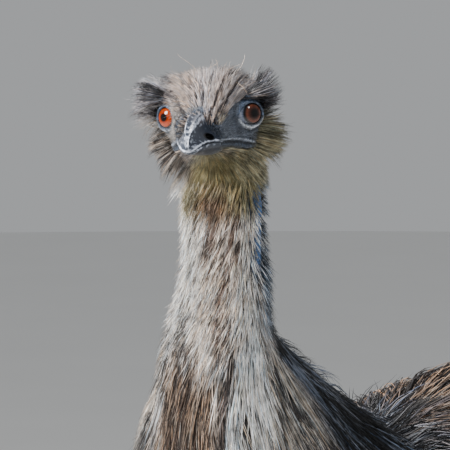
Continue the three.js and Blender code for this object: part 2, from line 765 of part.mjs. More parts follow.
// The flesh of the trunk with the gap added all round, for what grows beside it
const trunkMould = Manifold.union([
  trunk.solid(0, TAIL_CUT, TRUNK_SIDES, 4, { pad: GAP }),
  trunk.solid(TAIL_CUT, NECK_CUTS[0], TRUNK_SIDES, 9, { pad: GAP }),
  trunk.solid(NECK_CUTS[0], NECK_CUTS[1], TRUNK_SIDES, 5, { pad: GAP }),
]);

// Legs
for (const [side, word] of [[1, "left"], [-1, "right"]]) {
  const foot = side * -STRIDE;
  const leg = new Loft(legStations(side, foot), oval);
  const thigh = leg
    .solid(0, LEG_CUTS.shank, LEG_SIDES, 7, { drawIn: [0, GAP / 2] })
    .subtract(trunkMould);
  cores[`thigh_${word}`] = largest(thigh);
  const legLay = () => V(0, 0.32, -1);
  const outer = side > 0 ? 0 : Math.PI;
  const rows = [
    { station: 1.2, count: 4, from: outer - radians(110), sweep: radians(220) },
    ...evenRows(1.95, 3.7, 3, (s) => Math.round(6.4 - 0.6 * s)),
  ];
  const scaleAt = (s) => lerp(1.1, 0.7, smoothstep(s, 1.9, 3.7));
  const shank = leg.solid(LEG_CUTS.shank, LEG_CUTS.hock, LEG_SIDES, 2, { drawIn: [GAP / 2, GAP / 2] });
  const thighLocks = () => coat(leg, LOCKS.thigh, rows, legLay, [shank, trunkMould], { scaleAt });
  dress(`thigh_${word}`, thighLocks, BODY_COAT);
  addNode(bird, `shank_${word}`, shank, LEG_SKIN);
  const hock = leg.solid(LEG_CUTS.hock, LEG_CUTS.tarsus, LEG_SIDES, 5, { drawIn: [GAP / 2, GAP / 2] });
  addNode(bird, `hock_${word}`, hock, LEG_SKIN);
  const shin = {
    first: LEG_CUTS.tarsus + 0.15,
    last: LEG_CUTS.foot - 0.1,
    count: 9,
    facing: radians(-90),
    reach: radians(50),
    rise: 2.4,
  };
  const tarsus = scuted(leg, LEG_CUTS.tarsus, LEG_CUTS.foot, LEG_SIDES, shin, [GAP / 2, GAP / 2]);
  addNode(bird, `tarsus_${word}`, tarsus, LEG_SKIN);
  const heel = leg.solid(LEG_CUTS.foot, leg.last, LEG_SIDES, 2, { drawIn: [GAP / 2, 0] });
  const heelPad = ball(1, 10, 7);
  heelPad.scale(25, 33, 30).translate(side * (HIP_ASIDE - 4), ANKLE.behind + foot + 2, 25);
  const parts = [heel, solidOf(heelPad)];
  for (const toe of Object.values(TOES)) {
    const { loft } = toeLoft(side, foot, toe);
    const plates = {
      first: 0.9,
      last: 4.7,
      count: Math.round(toe.length / 28),
      facing: radians(90),
      reach: radians(60),
      rise: 1.8,
    };
    parts.push(scuted(loft, 0, 5, TOE_SIDES, plates, [0, 0]));
  }
  const claws = Object.entries(TOES).map(([name, toe]) => [name, clawSolid(side, foot, toe)]);
  const holes = Object.values(TOES).map((toe) => clawSolid(side, foot, toe, GAP));
  const footSolid = Manifold.union(parts).subtract(Manifold.union(holes)).intersect(ABOVE_FLOOR);
  addNode(bird, `foot_${word}`, footSolid, LEG_SKIN);
  for (const [name, claw] of claws) addNode(bird, `claw_${name}_${word}`, claw, CLAW_HORN);
}

// Wings: a small drooping limb on each shoulder with a few long locks
for (const [side, word] of [[1, "left"], [-1, "right"]]) {
  const angle = side > 0 ? radians(6) : radians(174);
  const at = (station, turn, off, halfWidth, halfHeight) => ({
    mid: trunk
      .point(station, angle + side * radians(turn))
      .addScaledVector(trunk.normal(station, angle + side * radians(turn)), off)
      .toArray(),
    half: [halfWidth, halfHeight],
  });
  const out = trunk.normal(5.2, angle);
  const wing = new Loft(
    [
      at(5.9, 12, 2, 7, 8),
      at(5.6, 4, 4, 11, 17),
      at(5.2, -8, 5, 11, 16),
      at(4.85, -22, 5, 9, 12),
      at(4.6, -32, 4, 6, 7),
    ],
    oval,
    () => out,
  );
  cores[`wing_${word}`] = largest(wing.solid(0, 4, 8, 6).subtract(trunkMould));
  const wingLay = () => V(0, 0.55, -1);
  const others = [finished.neck_lower, cores.torso, finished[`thigh_${word}`]];
  const wingLocks = () =>
    [0.9, 1.65, 2.4, 3.15].map((station) =>
      clearLock(wing, station, radians(10), LOCKS.wing, wingLay, 1 + 0.1 * vary(), others),
    );
  dress(`wing_${word}`, () => wingLocks().filter(Boolean), BODY_COAT);
}

// Torso and tail
const beside = ["neck_lower", "thigh_left", "thigh_right", "wing_left", "wing_right"];
const settled = beside.map((name) => finished[name]);
// The lower flank's locks are the longest, and the breast's and belly's are shorter
const torsoScale = (station, angle) => {
  const flank = Math.exp(-(((Math.sin(angle) + 0.35) / 0.35) ** 2));
  const belly = lerp(0.75, 1, smoothstep(Math.sin(angle), -1, -0.75));
  return (0.92 + 0.25 * flank) * belly * lerp(1, 0.72, smoothstep(station, 5.2, 6.6));
};
dress(
  "torso",
  () =>
    coat(
      trunk,
      LOCKS.torso,
      evenRows(6.5, 1.95, 8, (s) => Math.round(lerp(12, 8, Math.abs(s - 4) / 2.6))),
      trunkLay,
      [...settled, cores.tail],
      { scaleAt: torsoScale },
    ),
  BODY_COAT,
);
const tailRows = [
  { station: 1.35, count: 6, from: radians(-20), sweep: radians(220) },
  { station: 0.85, count: 5, from: radians(-10), sweep: radians(200) },
];
dress(
  "tail",
  () =>
    coat(trunk, LOCKS.tail, tailRows, trunkLay, [
      finished.torso,
      finished.thigh_left,
      finished.thigh_right,
    ]),
  BODY_COAT,
);

// The origin is on the floor, under the middle of the whole bird
bird.updateMatrixWorld(true);
const extent = new THREE.Box3().setFromObject(bird, true);
const centre = extent.getCenter(V());
bird.position.set(Math.round(-centre.x), Math.round(-centre.y), -extent.min.z);

const emu = new THREE.Group();
emu.name = "emu";
emu.add(bird);
export default emu;
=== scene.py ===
# %% [markdown]
# An adult emu, standing, at life size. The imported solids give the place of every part: this script
# dresses them. A skin with modelled face and scaly legs lies under a coat of thin closed strands,
# and the eyes, the bill and the claws are pieces of their own. All lengths are metres, +Z is up,
# the body faces -Y and the bird's left is +X.

# %% Frame
import math

import bmesh
import bpy
import numpy as np
from mathutils import Matrix, Vector, kdtree
from mathutils.bvhtree import BVHTree


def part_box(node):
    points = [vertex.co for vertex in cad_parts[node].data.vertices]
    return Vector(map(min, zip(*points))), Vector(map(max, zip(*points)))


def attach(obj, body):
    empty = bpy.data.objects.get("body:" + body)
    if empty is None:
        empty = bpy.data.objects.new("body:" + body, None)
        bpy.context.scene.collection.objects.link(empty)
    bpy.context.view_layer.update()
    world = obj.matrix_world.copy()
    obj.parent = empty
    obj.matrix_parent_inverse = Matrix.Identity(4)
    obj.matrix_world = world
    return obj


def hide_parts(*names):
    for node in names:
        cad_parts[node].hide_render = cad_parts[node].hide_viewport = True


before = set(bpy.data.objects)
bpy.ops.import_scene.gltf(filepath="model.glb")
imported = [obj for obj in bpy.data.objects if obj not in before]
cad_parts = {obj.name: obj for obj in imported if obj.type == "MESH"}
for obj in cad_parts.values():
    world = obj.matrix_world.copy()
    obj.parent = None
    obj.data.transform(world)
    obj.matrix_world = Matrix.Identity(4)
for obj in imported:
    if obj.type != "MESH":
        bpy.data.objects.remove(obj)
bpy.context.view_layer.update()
rng = np.random.default_rng(2417)
MM = 0.001

# %% [markdown]
# Most of an emu is a tube that swells and shrinks: trunk, neck, legs and toes. A loft describes such a
# form by a few stations, each a middle, a half width and a half height. A smooth curve runs through
# them, and a section turns a circle into an oval or an egg. The same formula then gives the
# skin's vertices, the way that feathers lie and the unwrap that they are baked on.

# %% Lofts
LEFT = np.array([1.0, 0.0, 0.0])
DOWN = np.array([0.0, 0.0, -1.0])
HEAD_TURN = math.radians(38.5)
HEAD_LEFT = np.array([math.cos(HEAD_TURN), math.sin(HEAD_TURN), 0.0])


def unit(v):
    return v / np.maximum(np.linalg.norm(v, axis=-1, keepdims=True), 1e-9)


def ease(x, low, high):
    t = np.clip((x - low) / (high - low), 0, 1)
    return t * t * (3 - 2 * t)


def bell(x, wide):
    return np.exp(-((x / wide) ** 2))


def curve(rows, s):
    """Reads rows of numbers at fractional row numbers, along a smooth curve through every row."""
    rows = np.asarray(rows, float)
    rows = np.vstack([2 * rows[0] - rows[1], rows, 2 * rows[-1] - rows[-2]])
    s = np.clip(np.asarray(s, float), 0, len(rows) - 3)
    k = np.minimum(s.astype(int), len(rows) - 4)
    t = (s - k)[:, None]
    a, b, c, d = (rows[k + i] for i in range(4))
    return b + 0.5 * t * (c - a + t * (2 * a - 5 * b + 4 * c - d + t * (3 * (b - c) + d - a)))


def egg(c, s):
    return c * (1 - 0.14 * s), s


def oval(c, s):
    return c, s


def squarish(c, s):
    return np.sign(c) * np.abs(c) ** 0.84, np.sign(s) * np.abs(s) ** 0.9


class Loft:
    def __init__(self, rows, section, shift=(0, 0, 0), side=lambda s: LEFT):
        rows = np.asarray(rows, float) * MM
        self.mids = rows[:, :3] + np.asarray(shift)
        self.halves = rows[:, 3:5]
        self.last = len(rows) - 1
        self.section = section
        self.side = side

    def frame(self, s):
        mid = curve(self.mids, s)
        along = unit(curve(self.mids, s + 0.02) - curve(self.mids, s - 0.02))
        side = np.broadcast_to(self.side(s), mid.shape)
        side = unit(side - (side * along).sum(1, keepdims=True) * along)
        return mid, along, side, np.cross(along, side), curve(self.halves, s)

    def point(self, s, angle, pad=0.0):
        mid, along, side, up, half = self.frame(s)
        across, high = self.section(np.cos(angle), np.sin(angle))
        pad = np.broadcast_to(pad, across.shape)
        return mid + side * (across * (half[:, 0] + pad))[:, None] + up * (high * (half[:, 1] + pad))[:, None]

    def locate(self, points, turns=4):
        """The station, the angle and the share of the half size, for points near the loft."""
        steps = np.linspace(0, self.last, 60)
        mids = curve(self.mids, steps)
        s = steps[np.argmin(((points[:, None] - mids[None]) ** 2).sum(2), axis=1)]
        for _ in range(turns):
            mid, along, side, up, half = self.frame(s)
            pace = np.linalg.norm(curve(self.mids, s + 0.02) - curve(self.mids, s - 0.02), axis=1) / 0.04
            s = np.clip(s + ((points - mid) * along).sum(1) / np.maximum(pace, 1e-6), 0, self.last)
        mid, along, side, up, half = self.frame(s)
        off = points - mid
        high, across = (off * up).sum(1) / half[:, 1], (off * side).sum(1) / half[:, 0]
        return s, np.arctan2(high, across), np.hypot(high, across)


# %% [markdown]
# The middles below are the bird's own measures, in millimetres. The solids were moved as a whole to
# stand over their origin, so the eyes' boxes in the frame say by how much: every piece follows them.

# %% Where the head is
def middle_of(*nodes):
    corners = [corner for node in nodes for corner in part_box(node)]
    return np.mean([np.array(corner) for corner in corners], axis=0)


EYE_MID = middle_of("eye_left", "eye_right")
HEAD_AT = np.array([120, -405, 1405]) * MM
SHIFT = np.round(EYE_MID - HEAD_AT, 3) * np.array([1, 1, 0])
HEAD = (
    Matrix.Translation(Vector(HEAD_AT + SHIFT))
    @ Matrix.Rotation(HEAD_TURN, 4, "Z")
    @ Matrix.Rotation(math.radians(-4), 4, "X")
    @ Matrix.Rotation(math.radians(-3.6), 4, "Y")
)
HEAD_ARRAY = np.array(HEAD)
INTO_HEAD = np.array(HEAD.inverted())


def to_head(points):
    """World points in the head's own frame, in millimetres: -Y is ahead, +X is the bird's left."""
    return (points @ INTO_HEAD[:3, :3].T + INTO_HEAD[:3, 3]) / MM


print("shift of the solids", SHIFT, "eyes", EYE_MID)

# %% [markdown]
# A grid of quads rolled into a tube is the quickest way to a loft: the grid's two directions become
# the turn round the loft and the way along it, doubles close the seam and filled holes the ends.
# An exact join makes the same points on every run but stores them in another order, and the feathers
# are later drawn by the number of a face. So each new or joined mesh is put in an order that its
# places alone decide, and every run grows the same bird.

# %% Mesh helpers
def rolled(loft, start, end, rings, sides, pad=0.0, relief=None):
    bm = bmesh.new()
    bmesh.ops.create_grid(bm, x_segments=sides, y_segments=rings, size=0.5)
    at = np.array([v.co for v in bm.verts])
    angle = (at[:, 0] + 0.5) * 2 * math.pi
    station = start + (end - start) * (at[:, 1] + 0.5)
    raised = pad + (relief(station, angle) if relief else 0)
    for vert, place in zip(bm.verts, loft.point(station, angle, raised)):
        vert.co = place
    bmesh.ops.remove_doubles(bm, verts=bm.verts, dist=1e-6)
    bmesh.ops.holes_fill(bm, edges=bm.edges, sides=0)
    bmesh.ops.recalc_face_normals(bm, faces=bm.faces)
    return bm


def ball(centre, radii, turn=None, segments=32):
    bm = bmesh.new()
    bmesh.ops.create_uvsphere(bm, u_segments=segments, v_segments=segments // 2, radius=1)
    place = Matrix.Translation(Vector(centre)) @ (turn or Matrix.Identity(4))
    bmesh.ops.transform(bm, matrix=place @ Matrix.Diagonal((*radii, 1)), verts=bm.verts)
    return bm


def moved(bm, matrix):
    bmesh.ops.transform(bm, matrix=matrix, verts=bm.verts)
    return bm


def object_of(name, *parts):
    mesh = bpy.data.meshes.new(name)
    whole = bmesh.new()
    for part in parts:
        part.to_mesh(mesh)
        whole.from_mesh(mesh)
        part.free()
    whole.to_mesh(mesh)
    whole.free()
    piece = bpy.data.objects.new(name, mesh)
    bpy.context.scene.collection.objects.link(piece)
    return in_fixed_order(piece)


def exchanged(piece, mesh):
    """Gives a piece another mesh, smooth shaded, and drops the one that it had."""
    old, piece.data = piece.data, mesh
    bpy.data.meshes.remove(old)
    mesh.name = piece.name
    mesh.polygons.foreach_set("use_smooth", [True] * len(mesh.polygons))
    return piece


def in_fixed_order(piece):
    """Stores the same points and faces in an order that their places alone decide."""
    spots = points_of(piece)
    order = np.lexsort(spots.T)
    rank = np.empty(len(order), int)
    rank[order] = np.arange(len(order))
    rank = rank.tolist()
    faces = []
    for polygon in piece.data.polygons:
        corners = [rank[corner] for corner in polygon.vertices]
        first = corners.index(min(corners))
        faces.append(corners[first:] + corners[:first])
    mesh = bpy.data.meshes.new(piece.name)
    mesh.from_pydata(spots[order], [], sorted(faces))
    return exchanged(piece, mesh)


def applied(piece, kind, **settings):
    """Adds one modifier, keeps its result as the mesh and drops the modifier."""
    modifier = piece.modifiers.new(kind, kind)
    for key, value in settings.items():
        setattr(modifier, key, value)
    graph = bpy.context.evaluated_depsgraph_get()
    mesh = bpy.data.meshes.new_from_object(piece.evaluated_get(graph))
    piece.modifiers.clear()
    return exchanged(piece, mesh)


def joined(piece, other, operation, solver="EXACT"):
    applied(piece, "BOOLEAN", object=other, operation=operation, solver=solver)
    bpy.data.objects.remove(other)
    return in_fixed_order(piece)


def points_of(piece):
    flat = np.empty(len(piece.data.vertices) * 3)
    piece.data.vertices.foreach_get("co", flat)
    return flat.reshape(-1, 3)


def normals_of(piece):
    flat = np.empty(len(piece.data.vertices) * 3)
    piece.data.vertices.foreach_get("normal", flat)
    return flat.reshape(-1, 3)


def set_points(piece, points):
    piece.data.vertices.foreach_set("co", np.asarray(points, float).ravel())
    piece.data.update()


def triangles_in(piece):
    return sum(len(p.vertices) - 2 for p in piece.data.polygons)


# %% [markdown]
# The head's skin decides whether the bird looks alive. Skull, brows, cheeks and lids start as simple
# overlapping solids. A voxel remesh melts them into one surface, as clay would, smoothing blends them,
# and then vertices are moved to press in the lores, the mouth and the ears.

# %% Trunk and skull
TRUNK = Loft(
    [
        (0, 424, 858, 28, 24),
        (0, 382, 888, 82, 72),
        (0, 292, 934, 132, 126),
        (0, 150, 961, 166, 173),
        (0, 0, 972, 173, 181),
        (0, -130, 980, 160, 172),
        (6, -210, 1014, 134, 151),
        (20, -263, 1080, 100, 116),
        (44, -309, 1150, 66, 75),
        (70, -350, 1215, 43.5, 47),
        (92, -366, 1276, 32.5, 34.5),
        (104, -377, 1332, 31, 32),
        (112, -386, 1392, 25, 24),
    ],
    egg,
    SHIFT,
    lambda s: LEFT + (HEAD_LEFT - LEFT) * ease(s, 6, 11.5)[:, None],
)


def head_row(ahead, half_width, top, bottom):
    return (0, -ahead, (top + bottom) / 2, half_width, (top - bottom) / 2)


SKULL = Loft(
    [
        head_row(-53, 3, 5, -2),
        head_row(-48, 17, 16, -14),
        head_row(-36, 28.5, 25, -27),
        head_row(-16, 34.5, 29, -34),
        head_row(5, 31.5, 27.5, -34),
        head_row(21, 25.5, 20, -32.5),
        head_row(33, 21.5, 11, -31),
        head_row(46, 18, 3.5, -29.5),
    ],
    squarish,
)
EYE_RADIUS = 13.5
EYE_ASIDE = 26.4
LIDS_OUTWARD = {1: math.radians(43), -1: math.radians(36)}
GAZE_OUTWARD = {1: math.radians(47), -1: math.radians(31)}
VOXEL_HEAD = 1.0 * MM


def eye_way(side, outward=LIDS_OUTWARD):
    return Vector((side * math.sin(outward[side]), -math.cos(outward[side]), 0))


def eye_turn(side, outward=LIDS_OUTWARD):
    """Turns +Z to the way that an eye or its lids face, with +Y kept upwards."""
    way = eye_way(side, outward)
    across = Vector((0, 0, 1)).cross(way).normalized()
    return Matrix((across, Vector((0, 0, 1)), way)).transposed().to_4x4()


head_parts = [rolled(SKULL, 0, SKULL.last, 60, 64)]
for side in (1, -1):
    look = eye_turn(side)
    eye_at = Vector((side * EYE_ASIDE, 0, 0)) * MM
    head_parts.append(ball(eye_at + eye_way(side) * -0.6 * MM, [(EYE_RADIUS + 1.5) * MM] * 3, look))
    brow = Vector((side * 27, 3, 14.5)) * MM
    head_parts.append(ball(brow, (9.5 * MM, 17 * MM, 5 * MM), Matrix.Rotation(side * 0.5, 4, "Z")))
    cheek = Vector((side * 24, 18, -20)) * MM
    head_parts.append(ball(cheek, (10 * MM, 20 * MM, 11 * MM)))
for part in head_parts:
    moved(part, HEAD)
head_parts.append(rolled(TRUNK, 10.9, TRUNK.last, 24, 48, pad=-1.5 * MM))
skin = object_of("skin", *head_parts)
applied(skin, "REMESH", mode="VOXEL", voxel_size=VOXEL_HEAD)
applied(skin, "SMOOTH", factor=0.5, iterations=5)
print("head skin", triangles_in(skin), "triangles")

# %% [markdown]
# The lids are cut, not drawn: an almond prism opens the swelling over each eyeball, and a slightly
# larger ball hollows the socket, so that the rim of skin left between them has a real edge.

# %% Lids, mouth and ears
LID_WIDE = 9.4
LID_HIGH = 7.9


def almond(side):
    bm = bmesh.new()
    bmesh.ops.create_cone(bm, cap_ends=True, segments=40, radius1=1, radius2=1.25, depth=1)
    for vert in bm.verts:
        x, y, z = vert.co
        lower = 1.0 if y > 0 else 0.94
        inner = max(-x * side, 0)
        vert.co = (
            x * LID_WIDE * MM * (1 + 0.16 * inner),
            (y * LID_HIGH * lower * (1 - 0.3 * inner**2 - 0.1 * x * x) - 1.3 * inner) * MM,
            (EYE_RADIUS * 0.45 + (z + 0.5) * 16) * MM,
        )
    bmesh.ops.recalc_face_normals(bm, faces=bm.faces)
    eye_at = Matrix.Translation(Vector((side * EYE_ASIDE, 0, 0)) * MM)
    return moved(bm, HEAD @ eye_at @ eye_turn(side))


for side in (1, -1):
    joined(skin, object_of("opening", almond(side)), "DIFFERENCE")
    eye_at = HEAD @ (Vector((side * EYE_ASIDE, 0, 0)) * MM)
    joined(skin, object_of("socket", ball(eye_at, [(EYE_RADIUS + 0.12) * MM] * 3, segments=64)), "DIFFERENCE")
print("with sockets", triangles_in(skin), "triangles")

MOUTH_Z = [(-8, -23.5), (9, -20.8), (26, -20.2), (46, -20.6)]


def mouth_height(ahead):
    places = np.array(MOUTH_Z)
    return np.interp(ahead, places[:, 0], places[:, 1])


def lid_place(points, side):
    """Millimetres out from the rim of an eye's opening, how far below it, and 1 near that eye."""
    frame_of_lids = HEAD @ Matrix.Translation(Vector((side * EYE_ASIDE, 0, 0)) * MM) @ eye_turn(side)
    into = np.array(frame_of_lids.inverted())
    local = (points @ into[:3, :3].T + into[:3, 3]) / MM
    across, up, out = local.T
    rim = np.sqrt((across / LID_WIDE) ** 2 + ((up + 0.4) / LID_HIGH) ** 2)
    return (rim - 1) * 8.4, -up / LID_HIGH, ease(out, 2, 6) * (rim < 3)


def sculpt_head(points, normals):
    """Moves skin points of the head along their normals: all in the head's millimetres."""
    p = to_head(points)
    x, ahead, z = np.abs(p[:, 0]), -p[:, 1], p[:, 2]
    move = np.zeros(len(p))
    on_face = ease(ahead, -14, 0)
    drop = z - mouth_height(ahead)
    in_mouth = ease(ahead, -9, -3) * (z < 0) * (x > 12)
    move -= 1.5 * bell(drop, 0.75) * in_mouth
    move += 0.75 * bell(drop - 2.3, 1.3) * in_mouth
    move += 0.65 * bell(drop + 2.4, 1.4) * in_mouth
    gape = np.sqrt((ahead + 7) ** 2 + (z + 24) ** 2)
    move += 0.9 * bell(gape, 3.2) - 1.3 * bell(gape, 1.3)
    lores = np.sqrt(((ahead - 22) / 13) ** 2 + ((z + 4) / 8) ** 2)
    move -= 2.2 * bell(lores, 0.9) * on_face * ease(x, 6, 14)
    ear = np.sqrt(((ahead + 27) / 0.8) ** 2 + (z + 13) ** 2)
    move += (1.4 * bell(ear - 6.5, 1.8) - 5.0 * bell(ear, 3.4)) * (x > 15)
    for side in (1, -1):
        off, below, near = lid_place(points, side)
        roll = 0.9 * bell(off - 1.6, 1.2) - 0.9 * bell(off - 4.4, 0.9) + 0.6 * bell(off - 7.0, 1.6)
        move += near * roll * np.where(below > 0, 1.15, 0.9)
    return points + normals * (move * MM)[:, None]


set_points(skin, sculpt_head(points_of(skin), normals_of(skin)))

# %% [markdown]
# Below the head the skin is hidden by the coat, so a plain smooth loft does. The thighs join it, and
# one union makes a single closed skin, which the feathers will root in. Where the neck bends up from
# the back the loft folds a little on its inner side, so the points there are smoothed many times.

# %% Body skin
HIP_ASIDE = 100
STRIDE = 22


def leg_loft(side):
    foot = side * -STRIDE
    rows = [
        (HIP_ASIDE - 8, -8, 880, 60, 82, 0),
        (HIP_ASIDE + 4, -4, 780, 56, 76, 0.1),
        (HIP_ASIDE + 8, 24, 690, 45, 58, 0.25),
        (HIP_ASIDE + 6, 56, 605, 33, 42, 0.45),
        (HIP_ASIDE + 3, 82, 520, 23, 28, 0.65),
        (HIP_ASIDE, 97, 462, 19.5, 23, 0.8),
        (HIP_ASIDE - 1, 101, 420, 24.5, 28, 0.85),
        (HIP_ASIDE - 2, 93, 376, 18.5, 22.5, 0.9),
        (HIP_ASIDE - 3, 76, 255, 15, 18, 1),
        (HIP_ASIDE - 4, 57, 128, 15.5, 19, 1),
        (HIP_ASIDE - 4, 47, 74, 21, 22, 1),
        (HIP_ASIDE - 4, 41, 30, 24, 24, 1),
    ]
    rows = [(side * x, y + foot * share, z, a, b) for x, y, z, a, b, share in rows]
    return Loft(rows, oval, SHIFT)


LEGS = {1: leg_loft(1), -1: leg_loft(-1)}
UNDER_COAT = -3 * MM
SADDLE_MIDDLE = np.array([0, -118, 1128])
SADDLE_REACH = 78
SADDLE_PASSES = 60
body = object_of("body", rolled(TRUNK, 0, 11.3, 150, 56, pad=UNDER_COAT))
for side in (1, -1):
    thigh = object_of("thigh", rolled(LEGS[side], 0.2, 4.7, 60, 36, pad=UNDER_COAT / 2))
    joined(body, thigh, "UNION")
joined(skin, body, "UNION")
bm = bmesh.new()
bm.from_mesh(skin.data)
saddle = SHIFT + SADDLE_MIDDLE * MM
near_saddle = [v for v in bm.verts if np.linalg.norm(np.array(v.co) - saddle) < SADDLE_REACH * MM]
every_way = dict(use_axis_x=True, use_axis_y=True, use_axis_z=True)
for _ in range(SADDLE_PASSES):
    bmesh.ops.smooth_vert(bm, verts=near_saddle, factor=0.5, **every_way)
bm.to_mesh(skin.data)
bm.free()
print("skin", triangles_in(skin), "triangles,", len(near_saddle), "points smoothed where neck meets back")

# %% [markdown]
# The bare leg carries scutes, broad horny plates that overlap down its front and along the toes. They
# are waves in the loft itself, highest at each plate's lower edge, so light catches every step. The
# foot is melted from three toes and a heel pad, and gets its plates after the remesh.

# %% Legs
TOES = {"inner": (88, -34, 16), "middle": (138, 0, 19), "outer": (96, 33, 16.5)}
ANKLE_BEHIND = 38
SHIN = (5.5, 9.9)
SHIN_PLATES = 26
VOXEL_LEG = 1.7 * MM
SOLE_HEIGHT = 0.2 * MM


def shin_relief(station, angle):
    k = (station - SHIN[0]) / (SHIN[1] - SHIN[0]) * SHIN_PLATES
    turned = np.abs(np.angle(np.exp(1j * (angle + math.pi / 2))))
    front = 1 - ease(turned, 0.75, 1.05)
    inside = (k > 0) & (k < SHIN_PLATES)
    step = (k % 1) ** 0.8 - 0.9 * bell(k % 1 - 1, 0.12)
    return np.where(inside, 1.1 * MM * step * front, 0)


def toe_frame(side, name):
    length, turn, base = TOES[name]
    way = np.array([side * math.sin(math.radians(turn)), -math.cos(math.radians(turn)), 0])
    root = np.array([side * (HIP_ASIDE - 4), ANKLE_BEHIND - side * STRIDE, 0]) * MM + SHIFT
    return root, way, length * MM, base


def toe_loft(side, name):
    root, way, length, base = toe_frame(side, name)
    rows = []
    for share, high, wide, tall in [
        (0, 28, 1.0, 22),
        (0.2, 19, 0.98, 19),
        (0.33, 15, 0.86, 15.5),
        (0.45, 13.4, 0.94, 14.6),
        (0.56, 11.8, 0.76, 12.6),
        (0.68, 11.6, 0.86, 13),
        (0.79, 9.8, 0.68, 10.6),
        (0.9, 9.4, 0.72, 10.6),
        (1.0, 7.4, 0.42, 6.6),
    ]:
        at = (root + way * length * share) / MM
        rows.append((at[0], at[1], high, base * wide, tall))
    across = np.array([-way[1], way[0], 0])
    return Loft(rows, squarish, side=lambda s: across)


def plated_toes(piece, side):
    """Raises the plates along the top of each toe, once the foot is one surface."""
    points, normals = points_of(piece), normals_of(piece)
    move = np.zeros(len(points))
    for name in TOES:
        root, way, length, base = toe_frame(side, name)
        off = points - root
        along = off @ way / length
        aside = np.abs(off @ np.array([-way[1], way[0], 0])) / (base * MM)
        k = along * round(length / MM / 7.5)
        near = (along > 0.2) & (along < 0.97) & (aside < 0.8)
        top = ease(normals[:, 2], 0.35, 0.75) * (1 - ease(aside, 0.5, 0.8))
        move = np.where(near, 1.0 * MM * ((k % 1) ** 0.8 - 0.5) * top, move)
    points += normals * move[:, None]
    points[:, 2] = np.maximum(points[:, 2], SOLE_HEIGHT)
    set_points(piece, points)


legs = {}
for side, word in ((1, "left"), (-1, "right")):
    heel = Vector(toe_frame(side, "middle")[0]) + Vector((0, 2, 25)) * MM
    parts = [rolled(toe_loft(side, name), 0, 8, 50, 30) for name in TOES]
    parts.append(ball(heel, (24 * MM, 31 * MM, 27 * MM)))
    parts.append(rolled(LEGS[side], 9.7, 11, 20, 36))
    leg = object_of("leg_" + word, *parts)
    applied(leg, "REMESH", mode="VOXEL", voxel_size=VOXEL_LEG)
    applied(leg, "SMOOTH", factor=0.5, iterations=4)
    plated_toes(leg, side)
    shank = object_of("shank", rolled(LEGS[side], 4.3, 9.95, 330, 44, relief=shin_relief))
    joined(leg, shank, "UNION")
    legs[word] = leg
    print(leg.name, triangles_in(leg), "triangles")

# %% [markdown]
# An emu's eye is a wet ball with a brown or orange iris and a round pupil. Rings and fibres are
# painted by the shader from the eye's own attribute, and a clear coat gives it its shine, so nothing
# transparent is needed. The front bulges a little, as a cornea does.

# %% Eyes
eyes = {}
for side, word in ((1, "left"), (-1, "right")):
    bm = ball((0, 0, 0), [EYE_RADIUS * MM] * 3, segments=96)
    eye = object_of("eyeball_" + word, bm)
    points = points_of(eye)
    out = points[:, 2] / (EYE_RADIUS * MM)
    points *= (1 + 0.075 * ease(out, 0.7, 1.0))[:, None]
    rim = eye.data.attributes.new("from_pupil", "FLOAT", "POINT")
    rim.data.foreach_set("value", np.hypot(points[:, 0], points[:, 1]) / MM)
    turn = eye.data.attributes.new("round_pupil", "FLOAT_VECTOR", "POINT")
    turn.data.foreach_set("vector", unit(points * np.array([1, 1, 0])).ravel())
    place = HEAD @ Matrix.Translation(Vector((side * EYE_ASIDE, 0, 0)) * MM) @ eye_turn(side, GAZE_OUTWARD)
    place = np.array(place)
    set_points(eye, points @ place[:3, :3].T + place[:3, 3])
    eyes[word] = eye
    print(eye.name, triangles_in(eye), "triangles")

# %% [markdown]
# The bill is horn over bone. A narrow raised shield runs from the forehead to the nail at the tip, the
# nostrils open in a hollow on each side of it, and thin pale edges meet along the mouth. The upper
# half is a loft whose section is that shield on two low shoulders.

# %% Bill
BILL_BACK = 40
NOSTRIL_AT = np.array([8.9, 59.5, 16.5])
NOSTRIL_RADII = np.array([5.6, 8.6, 2.9])
NOSTRIL_SHADE = np.array([6.2, 9.4, 3.3])


def bill_section(c, s):
    shield = 1 / (1 + (np.abs(c) / 0.42) ** 8)
    shoulder = (1 - c * c) ** 0.7
    rims = bell(np.abs(c) - 0.33, 0.07)
    top = 0.46 * shoulder + 0.5 * shield * (1 - 0.16 * bell(c, 0.2)) + 0.05 * rims
    return c, np.where(s > 0, top, -0.06 * np.sqrt(1 - c * c))


def keel_section(c, s):
    return c, np.where(s < 0, -np.abs(s) ** 0.8, 0.04 * s)


def bill_row(ahead, half_width, edge, reach):
    return (0, -ahead, edge, half_width, abs(reach - edge))


UPPER_BILL = Loft(
    [
        bill_row(BILL_BACK, 17.2, -20.3, 5.5),
        bill_row(54, 14.6, -19.8, 2.6),
        bill_row(66, 12.4, -20.2, -1.6),
        bill_row(76, 9.8, -21.6, -7.2),
        bill_row(83.5, 6.6, -24.2, -14.6),
        bill_row(87.4, 2.6, -27.2, -22.5),
    ],
    bill_section,
)
LOWER_BILL = Loft(
    [
        bill_row(BILL_BACK, 16.6, -21.4, -30),
        bill_row(54, 14.0, -20.9, -29.6),
        bill_row(66, 11.4, -21.4, -29.2),
        bill_row(76, 8.8, -22.9, -29),
        bill_row(82.5, 5.0, -25.2, -29.2),
        bill_row(85, 1.6, -26.8, -29.4),
    ],
    keel_section,
)
bills = {}
for name, loft in (("upper_bill", UPPER_BILL), ("lower_bill", LOWER_BILL)):
    bm = rolled(loft, 0, loft.last, 90, 120)
    bills[name] = object_of(name, moved(bm, HEAD))
